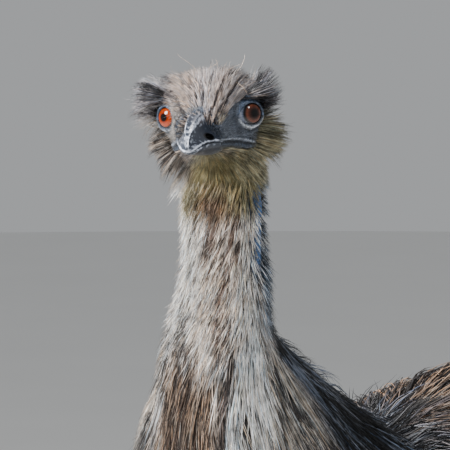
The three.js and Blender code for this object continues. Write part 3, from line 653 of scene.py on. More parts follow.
for side in (1, -1):
    turn = Matrix.Rotation(side * -0.22, 4, "Z") @ Matrix.Rotation(0.1, 4, "X")
    hole_at = Vector(NOSTRIL_AT * np.array([side, -1, -1])) * MM
    hole = ball(hole_at, NOSTRIL_RADII * MM, turn)
    joined(bills["upper_bill"], object_of("nostril", moved(hole, HEAD)), "DIFFERENCE")
    print("nostril", side, triangles_in(bills["upper_bill"]))
for name, loft in (("upper_bill", UPPER_BILL), ("lower_bill", LOWER_BILL)):
    h = to_head(points_of(bills[name]))
    s = np.interp(-h[:, 1], -loft.mids[:, 1] / MM, np.arange(loft.last + 1))
    mid, half = curve(loft.mids, s) / MM, curve(loft.halves, s) / MM
    share, over = np.abs(h[:, 0]) / half[:, 0], np.abs(h[:, 2] - mid[:, 2])
    wear_and_painted_light = (0.5 if name == "upper_bill" else 0.2) * bell(over - 1.0, 0.7) + 0.15 * ease(-h[:, 1], 70, 84)
    if name == "upper_bill":
        # Pale along the shield's raised rims: worn horn, and also a painted highlight where the rims catch
        # the light.
        wear_and_painted_light += 0.55 * bell(share - 0.36, 0.045) * ease(over / half[:, 1], 0.4, 0.6) + 0.12 * (share < 0.3)
        # Painted shade: the hollow round each nostril is driven to black through the same number as the wear.
        spot = (np.abs(h) - NOSTRIL_AT) / NOSTRIL_SHADE
        wear_and_painted_light -= 3 * (1 - ease(np.linalg.norm(spot, axis=1), 0.9, 1.05))
    layer = bills[name].data.attributes.new("wear_and_painted_light", "FLOAT", "POINT")
    layer.data.foreach_set("value", wear_and_painted_light)

# %% [markdown]
# Each claw is a blunt cone that bends down to the floor. It starts as one cone operator and its rings
# are moved and narrowed in place.

# %% Claws
CLAW_RINGS = 14
CLAW_HEIGHT = 0.3 * MM
claws = {}
for side, word in ((1, "left"), (-1, "right")):
    parts = []
    for name in TOES:
        root, way, length, base = toe_frame(side, name)
        bm = bmesh.new()
        bmesh.ops.create_cone(bm, cap_ends=True, segments=24, radius1=1, radius2=0.02, depth=1)
        rounds = [e for e in bm.edges if abs(e.verts[0].co.z - e.verts[1].co.z) > 0.5]
        bmesh.ops.subdivide_edges(bm, edges=rounds, cuts=CLAW_RINGS)
        reach = length * 0.13 + 12 * MM
        across = np.array([-way[1], way[0], 0])
        for vert in bm.verts:
            x, y, z = vert.co
            t = z + 0.5
            spread = math.hypot(x, y) or 1.0
            taper = (1.02 - t) ** 0.62
            wide, high = base * 0.36 * MM * taper, 6 * MM * taper
            at = root + way * (length * 0.98 + reach * t) + across * (x / spread) * wide
            at[2] = max(CLAW_HEIGHT, (8.4 - 6.6 * t * t) * MM + high * y / spread)
            vert.co = at
        bmesh.ops.recalc_face_normals(bm, faces=bm.faces)
        parts.append(bm)
    claws[word] = object_of("claws_" + word, *parts)
    print(claws[word].name, triangles_in(claws[word]), "triangles")

# %% [markdown]
# Markings are one function of place, used by the skin and by every strand: each region has a pale and
# a dark feather colour and a share of dark ones, as real plumage mixes them. The nape and crown are
# blackish, the foreneck is white and brown, the throat is olive, the back is brown with black.

# %% Markings
def srgb(text):
    c = np.array([int(text[i : i + 2], 16) for i in (0, 2, 4)]) / 255
    return np.where(c <= 0.04045, c / 12.92, ((c + 0.055) / 1.055) ** 2.4)


def mix(a, b, share):
    share = np.asarray(share)[:, None]
    return a * (1 - share) + b * share


def signed_around(angle):
    """Degrees round the neck or trunk from the throat or belly, more than 0 on the bird's left."""
    return np.degrees(np.angle(np.exp(1j * (angle + math.pi / 2))))


def around(angle):
    """The same with no sign: 0 at the throat or belly, 180 at the nape or spine."""
    return np.abs(signed_around(angle))


class Plumage:
    """Layers of markings: each layer blends a pale colour, a dark one and a share of dark strands."""

    def __init__(self, count, pale, dark, share):
        self.pale = np.tile(srgb(pale), (count, 1))
        self.dark = np.tile(srgb(dark), (count, 1))
        self.share = np.full(count, share)

    def layer(self, mask, pale, dark, share):
        mask = np.clip(mask, 0, 1)
        self.pale = mix(self.pale, srgb(pale), mask)
        self.dark = mix(self.dark, srgb(dark), mask)
        self.share = self.share * (1 - mask) + share * mask


def markings(points):
    """The pale colour, the dark colour and the share of dark strands at each point."""
    s, angle, _ = TRUNK.locate(points)
    side, turned = around(angle), signed_around(angle)
    h = to_head(points)
    x, ahead, z = h[:, 0], -h[:, 1], h[:, 2]
    plumage = Plumage(len(points), "a58a74", "2a2322", 0.5)
    layer = plumage.layer
    layer((1 - ease(side, 25, 60)) * (1 - ease(s, 5, 6)), "75645a", "241d1b", 0.55)
    layer(ease(s, 4.0, 5.2) * ease(side, 78, 122), "6e6d78", "0e0e12", 0.68)
    layer(ease(s, 5.1, 6.3) * ease(side, 50, 100), "77717a", "131317", 0.62)
    layer(1 - ease(s, 0.6, 2.0), "8d745f", "241d1b", 0.55)
    neck, upper = ease(s, 5.8, 6.9), ease(s, 9.0, 9.8)
    layer(neck, "c3bfbc", "4a4848", 0.42)
    strip = (1 - ease(np.abs(turned + 12), 24, 33)) * (1 - ease(s, 8.9, 9.5))
    layer(neck * (1 - upper), "e0dad6", "54504f", 0.42)
    layer(neck * (1 - upper) * ease(-turned, 40, 60), "d4cfca", "2c2a2b", 0.55)
    layer(neck * strip, "b9a18d", "463932", 0.52)
    layer(neck * bell(turned - np.interp(s, [7.2, 8, 8.7, 9.3], [14, 16, 23, 38]), 5) * (1 - upper),
          "7d6a60", "261f20", 0.75)
    layer(neck * upper, "fffbf6", "77716e", 0.26)
    layer(neck * upper * (1 - ease(np.abs(turned - 8), 14, 40)), "e6d9ce", "7d6a60", 0.42)
    middle = np.interp(s, [7.2, 8.05, 8.7, 9.3, 9.6], [26, 33, 50, 57, 60])
    wide = np.interp(s, [7.2, 8.05, 8.7, 9.3, 9.6], [9, 14, 22, 16, 2])
    patch = 1 - ease(np.abs(turned - middle), wide - 3, wide + 4)
    layer(neck * ease(side, 52, 66) * (1 - upper), "c2bbb3", "3d3a3b", 0.45)
    layer(neck * patch, "ffffff", "5e5c5c", 0.2)
    layer(neck * upper * ease(side, 60, 88), "97a9bf", "33424f", 0.45)
    layer(neck * upper * ease(-turned, 55, 85), "c4beb8", "5a5554", 0.4)
    nape = np.interp(s, [7, 8.6, 9.2, 9.8], [96, 102, 94, 86])
    layer(neck * ease(side - nape, 0, 18), "6d7687", "0b0c10", 0.7)
    reach = np.where(x > 0, 66, 50)
    throat = ease(z, -88, -70) * (1 - ease(side, reach, reach + 22) * (1 - ease(z, -56, -38)))
    layer(throat, "8f8663", "776e4c", 0.5)
    layer(bell(np.hypot((z + 72) / 13, (x + 3) / 15), 1) * ease(ahead, -22, 0), "86664e", "604838", 0.45)
    head = ease(z, -34, -22)
    layer(head, "bcb2b1", "2c2426", 0.48)
    layer(head * (1 - bell(x - 3, 14)), "aa917c", "2c2324", 0.5)
    layer(head * ease(-x, 3, 20), "9a8c84", "272022", 0.5)
    layer(head * ease(x, 12, 24), "aea6a4", "2e292c", 0.44)
    layer(head * ease(np.abs(x), 24, 40), "928f95", "232227", 0.54)
    layer(ease(x, 12, 24) * (1 - ease(z, -6, 6)) * ease(z, -60, -44), "a8a082", "6a664e", 0.4)
    layer(ease(-x, 12, 24) * (1 - ease(z, -6, 6)) * ease(z, -60, -44), "9a9087", "2f2826", 0.5)
    layer(ease(-x, 8, 14) * (1 - ease(z, 2, 8)) * ease(ahead, 0, 8), "6f6864", "2a2628", 0.5)
    layer(ease(z, -50, -36) * ease(-ahead, 26, 44), "857c77", "1d1a1c", 0.6)
    return plumage.pale, plumage.dark, np.clip(plumage.share, 0.02, 0.97)


def fan_origin(h):
    """Where the forehead's feathers fan out from, in the head's millimetres: low at the bird's left."""
    low = ease(h[:, 0], 6, 14)
    return np.stack([np.full(len(h), 6.0), np.full(len(h), -49.0), -19 - 9 * low], 1)


STREAK_ROWS = 256
STREAK_COLUMNS = 64
STREAK_TABLE = rng.random((STREAK_ROWS, STREAK_COLUMNS))


def streak(across, along):
    """Smooth random values from a table, for bands that follow the lie of the feathers."""
    a, b = np.floor(across).astype(int), np.floor(along).astype(int)
    u, v = ease(across - a, 0, 1), ease(along - b, 0, 1)
    corner = [
        STREAK_TABLE[(a + i) % STREAK_ROWS, (b + j) % STREAK_COLUMNS] for i in (0, 1) for j in (0, 1)
    ]
    return (corner[0] * (1 - v) + corner[1] * v) * (1 - u) + (corner[2] * (1 - v) + corner[3] * v) * u


def banding(points):
    """Long streaks: round the trunk and neck by angle, and on the head by the turn of the fan."""
    s, angle, _ = TRUNK.locate(points)
    cells = np.interp(s, [0, 6, 9, 12], [90, 120, 64, 56])
    body = streak(np.degrees(angle) / 360 * cells + 3 * np.sin(s * 2.1), s * 1.3)
    h = to_head(points)
    from_origin = h - fan_origin(h)
    turn = np.degrees(np.arctan2(from_origin[:, 0], from_origin[:, 2]))
    head = streak(turn / 2.4 + 51, np.linalg.norm(from_origin, axis=1) / 30)
    return np.where(h[:, 2] > -40, head, body)


def bare_neck(points):
    """1 where the neck's blue skin shows through thin feathers."""
    s, angle, _ = TRUNK.locate(points)
    turned = signed_around(angle)
    side = bell(turned - 84, 24) + 0.3 * bell(turned + 95, 18)
    return side * ease(s, 9.9, 10.5) * (1 - ease(s, 11.5, 11.9))


def skin_colours(points):
    pale, dark, share = markings(points)
    h = to_head(points)
    # Painted shade: skin under the coat takes the plumage colour darkened to under a tenth, and to about a
    # fifth on the head, for the shadow of the feathers over it.
    colour = mix(pale, dark, share) * (0.07 + 0.15 * ease(h[:, 2], -60, -30))[:, None]
    x, ahead, z = np.abs(h[:, 0]), -h[:, 1], h[:, 2]
    colour = mix(colour, srgb("2d5685"), bare_neck(points))
    colour = mix(colour, srgb("2f3846"), ease(ahead, -16, 0) * ease(z, -33, -28))
    drop = z - mouth_height(ahead)
    on_jaw = ease(ahead, -10, -4) * (x > 8)
    colour = mix(colour, srgb("9aa1ae"), 0.6 * bell(drop - 1.7, 0.7) * on_jaw)
    # Painted shade: a near-black line in the crease pressed in along the mouth.
    colour = mix(colour, srgb("0b0c10"), 0.95 * bell(drop + 0.3, 0.9) * on_jaw)
    colour = mix(colour, srgb("4c4c48"), 0.7 * ease(-drop, 2.5, 5) * on_jaw)
    for side in (1, -1):
        off, below, near = lid_place(points, side)
        ring = near * (1 - ease(off, 5, 6.5))
        colour = mix(colour, srgb("4d5a6e"), ring * (below < 0.2))
        bag = bell(off - 2.5, 1.05) * ease(below, 0.2, 0.7) * (0.85 if side > 0 else 0.4)
        colour = mix(colour, srgb("aeb3ba"), near * bag)
        # Painted shade: a dark line in the fold that sculpt_head presses in round the lids.
        colour = mix(colour, srgb("15181f"), near * 0.8 * bell(off - 4.6, 0.7))
        colour = mix(colour, srgb("0d0e12"), near * bell(off + 0.1, 1.0) * (0.8 if side > 0 else 0.2))
    return colour


def paint(piece, name, colours):
    layer = piece.data.attributes.new(name, "FLOAT_COLOR", "POINT")
    rgba = np.ones((len(colours), 4))
    rgba[:, :3] = colours
    layer.data.foreach_set("color", rgba.ravel())


paint(skin, "plumage", skin_colours(points_of(skin)))
print("marked", len(skin.data.vertices), "points of the skin")

# %% [markdown]
# Feathers grow as an emu's do, in loose hair-like strands. Roots are scattered over the skin by area,
# each strand marches over it along the lie of the coat, is lifted clear of it, hangs with its weight
# and leans towards its neighbours in a tuft. Every strand is a closed three-sided blade.

# %% Strands
BAKE_PATCH = 0.003
SKIN_TREE = BVHTree.FromPolygons(
    [tuple(p) for p in points_of(skin)], [tuple(p.vertices) for p in skin.data.polygons]
)


def nearest(points):
    """How far points lie outside the skin, and the skin's normal there."""
    gap = np.empty(len(points))
    normal = np.empty((len(points), 3))
    for i, point in enumerate(points):
        at, way, _, _ = SKIN_TREE.find_nearest(point)
        normal[i] = way
        gap[i] = (point[0] - at[0]) * way[0] + (point[1] - at[1]) * way[1] + (point[2] - at[2]) * way[2]
    return gap, normal


def skin_samples(density, count):
    """Points scattered over the skin, by its area times a density at each face's middle."""
    mesh = skin.data
    mesh.calc_loop_triangles()
    corners = np.empty(len(mesh.loop_triangles) * 3, int)
    mesh.loop_triangles.foreach_get("vertices", corners)
    spots, normals = points_of(skin), normals_of(skin)
    tri, tri_normal = spots[corners.reshape(-1, 3)], normals[corners.reshape(-1, 3)]
    area = np.linalg.norm(np.cross(tri[:, 1] - tri[:, 0], tri[:, 2] - tri[:, 0]), axis=1)
    weight = area * density(tri.mean(1), tri_normal.mean(1))
    picked = rng.choice(len(tri), count, p=weight / weight.sum())
    share = rng.dirichlet((1, 1, 1), count)[:, :, None]
    return (tri[picked] * share).sum(1), unit((tri_normal[picked] * share).sum(1))


def tuft_lean(points, spacing):
    """For each strand, the way to the middle of the tuft that it belongs to."""
    middles = points[rng.choice(len(points), max(4, len(points) // spacing), replace=False)]
    tree = kdtree.KDTree(len(middles))
    for i, middle in enumerate(middles):
        tree.insert(middle, i)
    tree.balance()
    ids = np.array([tree.find(point)[1] for point in points])
    return middles[ids] - points, ids


def grow(roots, normals, kind, lay, scale, rise, ceiling):
    """The middle line of each strand and its broad way, from its root to its tip, and its tuft."""
    n, steps = len(roots), kind["steps"]
    length = kind["length"] * MM * scale * rng.uniform(0.65, 1.15, n)
    lean, tuft = tuft_lean(roots, kind["tuft"])
    swing = rng.normal(size=(tuft.max() + 1, 3))[tuft] * kind["tuft_swing"]
    flat = lay(roots, normals) + swing + rng.normal(size=(n, 3)) * kind["frizz"]
    flat = unit(flat - (flat * normals).sum(1, keepdims=True) * normals)
    way = unit(flat + normals * np.reshape(rise, (-1, 1)))
    line = [roots - normals * kind["sink"] * MM]
    across = [unit(np.cross(way, normals))]
    for k in range(1, steps + 1):
        point = line[-1] + way * (length / steps)[:, None]
        gap, normal = nearest(point)
        share = k / steps
        least = kind["lift"] * length * share + 0.3 * MM
        most = np.maximum(kind["top"] * MM * ceiling * share**0.7, least + 0.1 * MM)
        point = point + normal * (np.clip(gap, least, most) - gap)[:, None]
        point = point + lean * (kind["gather"] * share / steps)
        line.append(point)
        step = unit(point - line[-2])
        across.append(unit(np.cross(step, normal)))
        way = unit(step + DOWN * kind["droop"] + rng.normal(size=(n, 3)) * kind["curl"])
        if "flow" in kind:
            way = unit(way + lay(point, normal) * kind["flow"])
    return np.array(line), np.array(across), tuft


def clear_of_eyes(line):
    """False for the strands that would hang over an eye."""
    spots = line.reshape(-1, 3)
    over = np.zeros(len(spots), bool)
    for side in (1, -1):
        off, _, near = lid_place(spots, side)
        over |= (off < 0.6) & (near > 0.5)
    return ~over.reshape(line.shape[:2]).any(axis=0)


def blades(name, line, across, width, colours, unwrap, material, nodes):
    """One mesh of closed three-sided tapered strands, with its colours and its baking patches."""
    steps, n = len(line) - 1, line.shape[1]
    outline = np.interp(np.linspace(0, 1, steps + 1)[:-1], [0, 0.25, 0.6, 1], [0.6, 1, 0.85, 0.25])
    rings = []
    for k in range(steps):
        step = unit(line[min(k + 1, steps)] - line[k])
        a, b = across[k], np.cross(across[k], step)
        half = (width * outline[k] / 2)[:, None]
        for turn in (math.pi / 2, math.pi * 7 / 6, math.pi * 11 / 6):
            rings.append(line[k] + a * half * math.cos(turn) * 1.15 + b * half * math.sin(turn) * 0.6)
    rings.append(line[steps])
    each = len(rings)
    spots = np.stack(rings, axis=1).reshape(-1, 3)
    faces = [(0, 2, 1)]
    for k in range(steps - 1):
        for j in range(3):
            a, b = 3 * k + j, 3 * k + (j + 1) % 3
            faces += [(a, b, b + 3), (a, b + 3, a + 3)]
    last = 3 * (steps - 1)
    faces += [(last + j, last + (j + 1) % 3, each - 1) for j in range(3)]
    faces = np.array(faces)
    index = (faces[None] + (np.arange(n) * each)[:, None, None]).reshape(-1)
    mesh = bpy.data.meshes.new(name)
    mesh.vertices.add(len(spots))
    mesh.vertices.foreach_set("co", spots.ravel())
    mesh.loops.add(len(index))
    mesh.loops.foreach_set("vertex_index", index)
    mesh.polygons.add(len(index) // 3)
    mesh.polygons.foreach_set("loop_start", np.arange(0, len(index), 3))
    mesh.polygons.foreach_set("loop_total", np.full(len(index) // 3, 3))
    mesh.polygons.foreach_set("use_smooth", [True] * (len(index) // 3))
    mesh.update(calc_edges=True)
    ring_of = np.minimum(np.arange(each) // 3, steps)
    patch = np.stack([(np.arange(each) % 3) / 2.0, ring_of / steps], 1) - 0.5
    uv = unwrap[:, None, :] * 0.99 + 0.005 + patch[None] * BAKE_PATCH
    layer = mesh.uv_layers.new(name="OFBake")
    layer.data.foreach_set("uv", uv.reshape(-1, 2)[index].ravel())
    piece = bpy.data.objects.new(name, mesh)
    bpy.context.scene.collection.objects.link(piece)
    paint(piece, "plumage", colours[:, ring_of].reshape(-1, 3))
    mesh.materials.append(material)
    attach(piece, "root")
    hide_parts(*nodes)
    print(name, n, "strands", len(index) // 3, "triangles")
    return piece


def strand_colours(roots, tuft, steps):
    """A colour for every ring of each strand: pale or dark by chance and by tuft, with painted shade that
    darkens it towards the root.
    """
    pale, dark, share = markings(roots)
    n = len(roots)
    z = to_head(roots)[:, 2]
    on_head, on_throat = ease(z, -50, -30), ease(z, -100, -80) * (1 - ease(z, -46, -32))
    by_tuft, by_band = 0.25 - 0.15 * on_head, 0.45 + 0.1 * on_head
    chance = (1 - by_tuft - by_band) * rng.random(n) + by_band * banding(roots)
    chance += by_tuft * rng.random(tuft.max() + 1)[tuft]
    chance = ease(chance, 0.14, 0.86)
    pick = ease(share - chance, -0.07, 0.07)
    swing = 1 - 0.6 * on_throat
    base = mix(pale, dark, pick) * (1 + (rng.uniform(0.6, 1.25, n) - 1) * swing)[:, None]
    base *= (1 + (rng.uniform(0.7, 1.2, tuft.max() + 1)[tuft] - 1) * swing * (1 - 0.6 * on_head))[:, None]
    base *= 1 + rng.normal(0, 0.09, n)[:, None] * np.array([1, 0, -1])
    along = np.linspace(0, 1, steps + 1)
    # Painted shade: each strand darkens towards its root, to about a third, and less on the head and throat.
    root = (0.35 + 0.4 * np.maximum(on_head, on_throat))[:, None]
    shade = root + (1 - root) * ease(along, 0, 0.5)[None]
    return np.clip(base[:, None, :] * shade[:, :, None], 0, 1)


# %% [markdown]
# The head's feathers are short hairs. They leave the point over the bill and fan out over the crown
# and brows, run back over the cheeks and down under the chin. The lores, the lids and a strip to the
# corner of the mouth stay bare, so the density falls to nothing there, with a ragged edge.

# %% Lie of the head feathers
def feathered(points):
    """1 where the head's feathers root, 0 on its bare skin."""
    h = to_head(points)
    x, ahead, z = np.abs(h[:, 0]), -h[:, 1], h[:, 2]
    brow = np.interp(ahead, [-12, 8, 15, 25, 34, 45, 52], [11, 11.5, 9.8, 5.5, -0.5, -8, -13])
    bare = ease(ahead, -13, -8) * (1 - ease(z, brow - 0.5, brow + 1.5)) * ease(z, -28, -25.5)
    bare = np.maximum(bare, ease(ahead, 30, 34) * (z < -14))
    bare = np.maximum(bare, ease(ahead, 44, 47) * ease(z, -3, 0) * (x < 6))
    eye = np.hypot(ahead - 0.5, z) + np.where(x > 14, 0, 30)
    bare = np.maximum(bare, 1 - ease(eye, 11, 12.5))
    beside_bill = (h[:, 0] < -12) * ease(ahead, 6, 10) * (1 - ease(ahead, 26, 32))
    bare = np.maximum(bare, beside_bill * (1 - ease(z, brow + 1, brow + 4)) * ease(z, -22, -19))
    ear = np.hypot((ahead + 27) * 1.1, z + 13)
    return (1 - bare) * (0.25 + 0.75 * ease(ear, 3, 6))


def head_lay(points, normals):
    """Away from the point over the bill, outwards over the brows, down under the chin."""
    h = to_head(points)
    x, ahead, z = h[:, 0], -h[:, 1], h[:, 2]
    side = np.sign(x) * ease(np.abs(x), 0, 8)
    zero = np.zeros(len(h))
    sweep = 1.25 + 1.0 * ease(6 - x, -4, 12) + 1.1 * ease(x, 8, 28)
    fan = (h - fan_origin(h)) * np.stack([sweep, zero + 1, zero + 1], 1)
    fan = unit(fan)
    tips = np.where(x > 0, 0.8, -0.3 + 0.5 * ease(z, 12, 22))
    brow = unit(np.stack([side * 1.5, zero + 0.5, tips], 1))
    chin = unit(np.stack([side * 0.45, zero + 0.5, zero - 1.0], 1))
    low = 1 - ease(z, -36, -24)
    on_brow = ease(np.abs(x), 10, 32) * ease(z, 4, 10) * ease(ahead, -26, -8) * (1 - ease(ahead, 10, 26))
    way = fan * (1 - on_brow)[:, None] + brow * on_brow[:, None]
    cheek = np.stack([side * 0.3, zero + 0.1, zero - 0.5], 1)
    cheek *= ((1 - ease(z, -12, 2)) * (1 - ease(ahead, -6, 8)))[:, None]
    way = (way + cheek) * (1 - low)[:, None] + chin * low[:, None]
    return unit(way @ HEAD_ARRAY[:3, :3].T)


def on_cheek(points):
    h = to_head(points)
    x, ahead, z = np.abs(h[:, 0]), -h[:, 1], h[:, 2]
    return ease(x, 18, 28) * (1 - ease(z, -6, 4)) * ease(-ahead, -8, 6)


def head_length(points):
    """Short at the bill and under the chin, long on the brows, the crown and the cheeks."""
    h = to_head(points)
    x, ahead, z = np.abs(h[:, 0]), -h[:, 1], h[:, 2]
    size = 1.55 - 1.15 * ease(ahead, 16, 46)
    size = size + np.where(h[:, 0] < 0, 1.2, 0.4) * ease(x, 8, 26) * ease(z, 9, 14) * ease(ahead, -24, -4)
    size = size + np.where(h[:, 0] < 0, 1.0, 0.3) * on_cheek(points)
    size = size * (1 - 0.5 * ease(-z, 20, 34) * on_cheek(points))
    size = size * (1 - 0.45 * ease(h[:, 0], 14, 24) * ease(z, 11, 17))
    beside_bill = ease(-h[:, 0], 8, 13) * (1 - ease(z, 4, 9)) * ease(ahead, -2, 8)
    size = size * (1 - 0.6 * beside_bill)
    near_eye = ease(x, 20, 26) * (1 - ease(z, 10, 14)) * ease(z, 0, 8) * ease(ahead, -10, 0)
    size = size * (1 - 0.5 * near_eye)
    return size - 0.45 * (1 - ease(z, -34, -26)) * (1 - on_cheek(points)) * ease(ahead, -20, 0)


def head_rise(points):
    h = to_head(points)
    ahead, z = -h[:, 1], h[:, 2]
    x = np.abs(h[:, 0])
    crown = ease(z, 20, 28) * (0.06 + 0.1 * ease(x, 8, 18)) * ease(-ahead, -24, -4)
    crown = crown + 0.3 * ease(-h[:, 0], 10, 18) * ease(z, 12, 18) * ease(-ahead, -24, -4)
    return 0.06 + np.where(h[:, 0] < 0, 1.35, 0.75) * on_cheek(points) + crown


def head_unwrap(points):
    h = to_head(points)
    lon = np.arctan2(h[:, 0], -h[:, 1]) / (2 * math.pi) + 0.5
    lat = np.arctan2(h[:, 2] + 8, np.hypot(h[:, 0], h[:, 1])) / math.pi + 0.5
    return np.stack([lon, lat], 1)


# %% [markdown]
# On the neck the feathers hang down along it. On the body they part along the spine, run back and fall
# down the flanks, ever longer, and on the thighs they hang down to the hock.

# %% Lie of the body feathers
def trunk_lay(points, normals):
    s, angle, _ = TRUNK.locate(points)
    _, along, side, up, _ = TRUNK.frame(s)
    back = -along
    flank = side * np.cos(angle)[:, None] + DOWN * ease(np.abs(np.cos(angle)), 0, 0.7)[:, None]
    share = (1 - ease(s, 5.6, 7.4))[:, None]
    rump = (1 - ease(s, 0.4, 2.6))[:, None]
    turned = np.angle(np.exp(1j * (angle + math.pi / 2)))
    forward = (side * np.sin(angle)[:, None] - up * np.cos(angle)[:, None]) * np.sin(turned + 0.6)[:, None]
    back = unit(back + forward * 0.75 * ease(s, 8.8, 9.8)[:, None])
    low = (1 - ease(around(angle), 60, 100))[:, None]
    saddle = (ease(around(angle), 70, 110) * bell(s - 5.3, 0.9))[:, None]
    back = back * (1 - 0.3 * saddle) + side * (np.sign(np.cos(angle)) * 0.4)[:, None] * saddle
    share = share * (1 + low)
    fall = DOWN * (0.25 + 1.1 * rump + 0.5 * low * share)
    return unit(back * (1 - 0.8 * rump) + flank * share * 0.75 + fall)


def trunk_unwrap(points):
    s, angle, _ = TRUNK.locate(points)
    return np.stack([angle / (2 * math.pi) + 0.5, s / TRUNK.last], 1)


def leg_of(points):
    return np.where(points[:, 0] > SHIFT[0], 1, -1)


def thigh_lay(points, normals):
    way = np.tile(DOWN, (len(points), 1))
    for side, leg in LEGS.items():
        mine = leg_of(points) == side
        s, _, _ = leg.locate(points[mine])
        way[mine] = leg.frame(s)[1]
    return unit(way + DOWN * 0.3)


def on_thigh(points):
    _, _, reach = TRUNK.locate(points)
    return ease(reach, 0.98, 1.06) * (1 - ease(points[:, 2], 0.82, 0.9)) * (points[:, 1] > -0.15)


# %% [markdown]
# Every surface finish reads Object coordinates or an attribute of its own mesh, so it stays put when
# the camera moves. A small helper lays out a node tree: it makes nodes and links them by name.

# %% Finishes
def finish(name, roughness, **sockets):
    material = bpy.data.materials.new(name)
    material.use_nodes = True
    shader = material.node_tree.nodes["Principled BSDF"]
    shader.inputs["Roughness"].default_value = roughness
    for key, value in sockets.items():
        shader.inputs[key.replace("_", " ")].default_value = value
    return material, shader


def node(material, kind, inputs=None, **settings):
    made = material.node_tree.nodes.new(kind)
    for key, value in settings.items():
        setattr(made, key, value)
    for key, value in (inputs or {}).items():
        if isinstance(value, bpy.types.NodeSocket):
            material.node_tree.links.new(value, made.inputs[key])
        else:
            made.inputs[key].default_value = value
    return made


def noise(material, scale, detail=3.0, stretch=(1, 1, 1)):
    spot = node(material, "ShaderNodeTexCoord").outputs["Object"]
    spot = node(material, "ShaderNodeMapping", {"Vector": spot, "Scale": stretch}).outputs[0]
    made = node(material, "ShaderNodeTexNoise", {"Vector": spot, "Scale": scale, "Detail": detail})
    return made.outputs["Fac"]


def ramp(material, factor, stops):
    made = node(material, "ShaderNodeValToRGB", {"Fac": factor})
    elements = made.color_ramp.elements
    while len(elements) < len(stops):
        elements.new(0.5)
    for element, (place, colour) in zip(elements, stops):
        element.position = place
        element.color = (*colour, 1)
    return made.outputs["Color"]


def grey_ramp(material, factor, low, high, a=0.0, b=1.0):
    return ramp(material, factor, [(low, (a, a, a)), (high, (b, b, b))])


def tinted(material, a, b, factor, blend="MIX"):
    made = node(material, "ShaderNodeMix", data_type="RGBA", blend_type=blend)
    for socket, value in ((made.inputs[0], factor), (made.inputs[6], a), (made.inputs[7], b)):
        if isinstance(value, bpy.types.NodeSocket):
            material.node_tree.links.new(value, socket)
        else:
            socket.default_value = value if np.isscalar(value) else (*value, 1)
    return made.outputs[2]


def bumped(material, shader, height, strength, distance):
    made = node(material, "ShaderNodeBump", {"Height": height, "Strength": strength, "Distance": distance})
    material.node_tree.links.new(made.outputs["Normal"], shader.inputs["Normal"])


def coloured(material, shader, colour):
    material.node_tree.links.new(colour, shader.inputs["Base Color"])


# %% [markdown]
# A feather is matt with a faint gloss along its barbs, and an emu's bare face is dull, pored and
# speckled. Both take their colour from the plumage attribute that the mesh already carries, so that
# skin and strands agree, and noise at two scales only varies it and gives the bump.

# %% Feather and skin finishes
def attribute(material, name, output="Color"):
    return node(material, "ShaderNodeAttribute", attribute_name=name).outputs[output]


feather, shader = finish("feather_vane", 0.38, Specular_IOR_Level=0.5)
streaks = grey_ramp(feather, noise(feather, 120, 3), 0.3, 0.7, 0.6, 1.3)
coloured(feather, shader, tinted(feather, attribute(feather, "plumage"), streaks, 1.0, "MULTIPLY"))
bumped(feather, shader, noise(feather, 900, 2), 0.25, 0.0006)

face_skin, shader = finish("bare_skin", 0.5, Specular_IOR_Level=0.45)
pores = noise(face_skin, 620, 4)
blotches = grey_ramp(face_skin, noise(face_skin, 90, 4), 0.3, 0.72, 0.7, 1.3)
speckles = tinted(face_skin, blotches, grey_ramp(face_skin, pores, 0.4, 0.64, 0.45, 1.9), 1.0, "MULTIPLY")
coloured(face_skin, shader, tinted(face_skin, attribute(face_skin, "plumage"), speckles, 1.0, "MULTIPLY"))
bumped(face_skin, shader, pores, 0.7, 0.0012)

# %% [markdown]
# The iris is a muscle of fine fibres round a dark pupil, under a wet clear surface. A picture of it
# could be used, but rings by distance from the pupil, shaken by noise along the radius, stay sharp at
# any size. Both irises have one colour in life, but light and shade are painted into two copies: a lit
# amber for the bird's right eye, on the key lamp's side, and a darker, shaded russet for its left eye.

# %% Eye finish
def iris(name, inner, outer):
    """Rings from the pupil outwards, broken by fibres that run with the radius."""
    material, shader = finish(name, 0.3, Specular_IOR_Level=0.0, Coat_Weight=0.75, Coat_Roughness=0.02)
    fibres = node(material, "ShaderNodeTexNoise", {
        "Vector": attribute(material, "round_pupil", "Vector"), "Scale": 9, "Detail": 5,
    }).outputs["Fac"]
    radius = attribute(material, "from_pupil", "Fac")
    wobble = node(material, "ShaderNodeMath", {0: fibres, 1: 0.5, 2: radius}, operation="MULTIPLY_ADD")
    share = node(material, "ShaderNodeMath", {0: wobble.outputs[0], 1: 10.0}, operation="DIVIDE")
    rings = ramp(material, share.outputs[0], [
        (0.0, (0.003, 0.002, 0.002)), (0.29, (0.004, 0.003, 0.003)), (0.34, inner * 0.4),
        (0.46, inner), (0.66, outer), (0.73, outer * 0.4), (0.77, (0.006, 0.005, 0.005)),
        (0.84, (0.008, 0.008, 0.01)), (0.89, srgb("5a6478")), (1.0, srgb("a4aaba")),
    ])
    flecks = grey_ramp(material, fibres, 0.3, 0.7, 0.6, 1.3)
    coloured(material, shader, tinted(material, rings, flecks, 1.0, "MULTIPLY"))
    return material


# Painted light: the bird's right eye, on the key lamp's side, gets the lit amber iris, and its left eye gets
# the shaded, darker russet one.
eye_finish = {
    "left": iris("iris_painted_shade_russet", srgb("351c16"), srgb("683828")),
    "right": iris("iris_painted_lit_amber", srgb("862a02"), srgb("983604")),
}

# %% [markdown]
# Horn wears pale where it rubs: along the shield, the rims and the tip, and the pale on the shield's
# rims is also a painted highlight. The bill's mesh holds that wear, and painted shade in the hollow
# round each nostril, as one number, which noise breaks up before it picks the colour. Claws are plain
# dark horn with dust on them, and the legs have cells of small scales between the modelled plates.

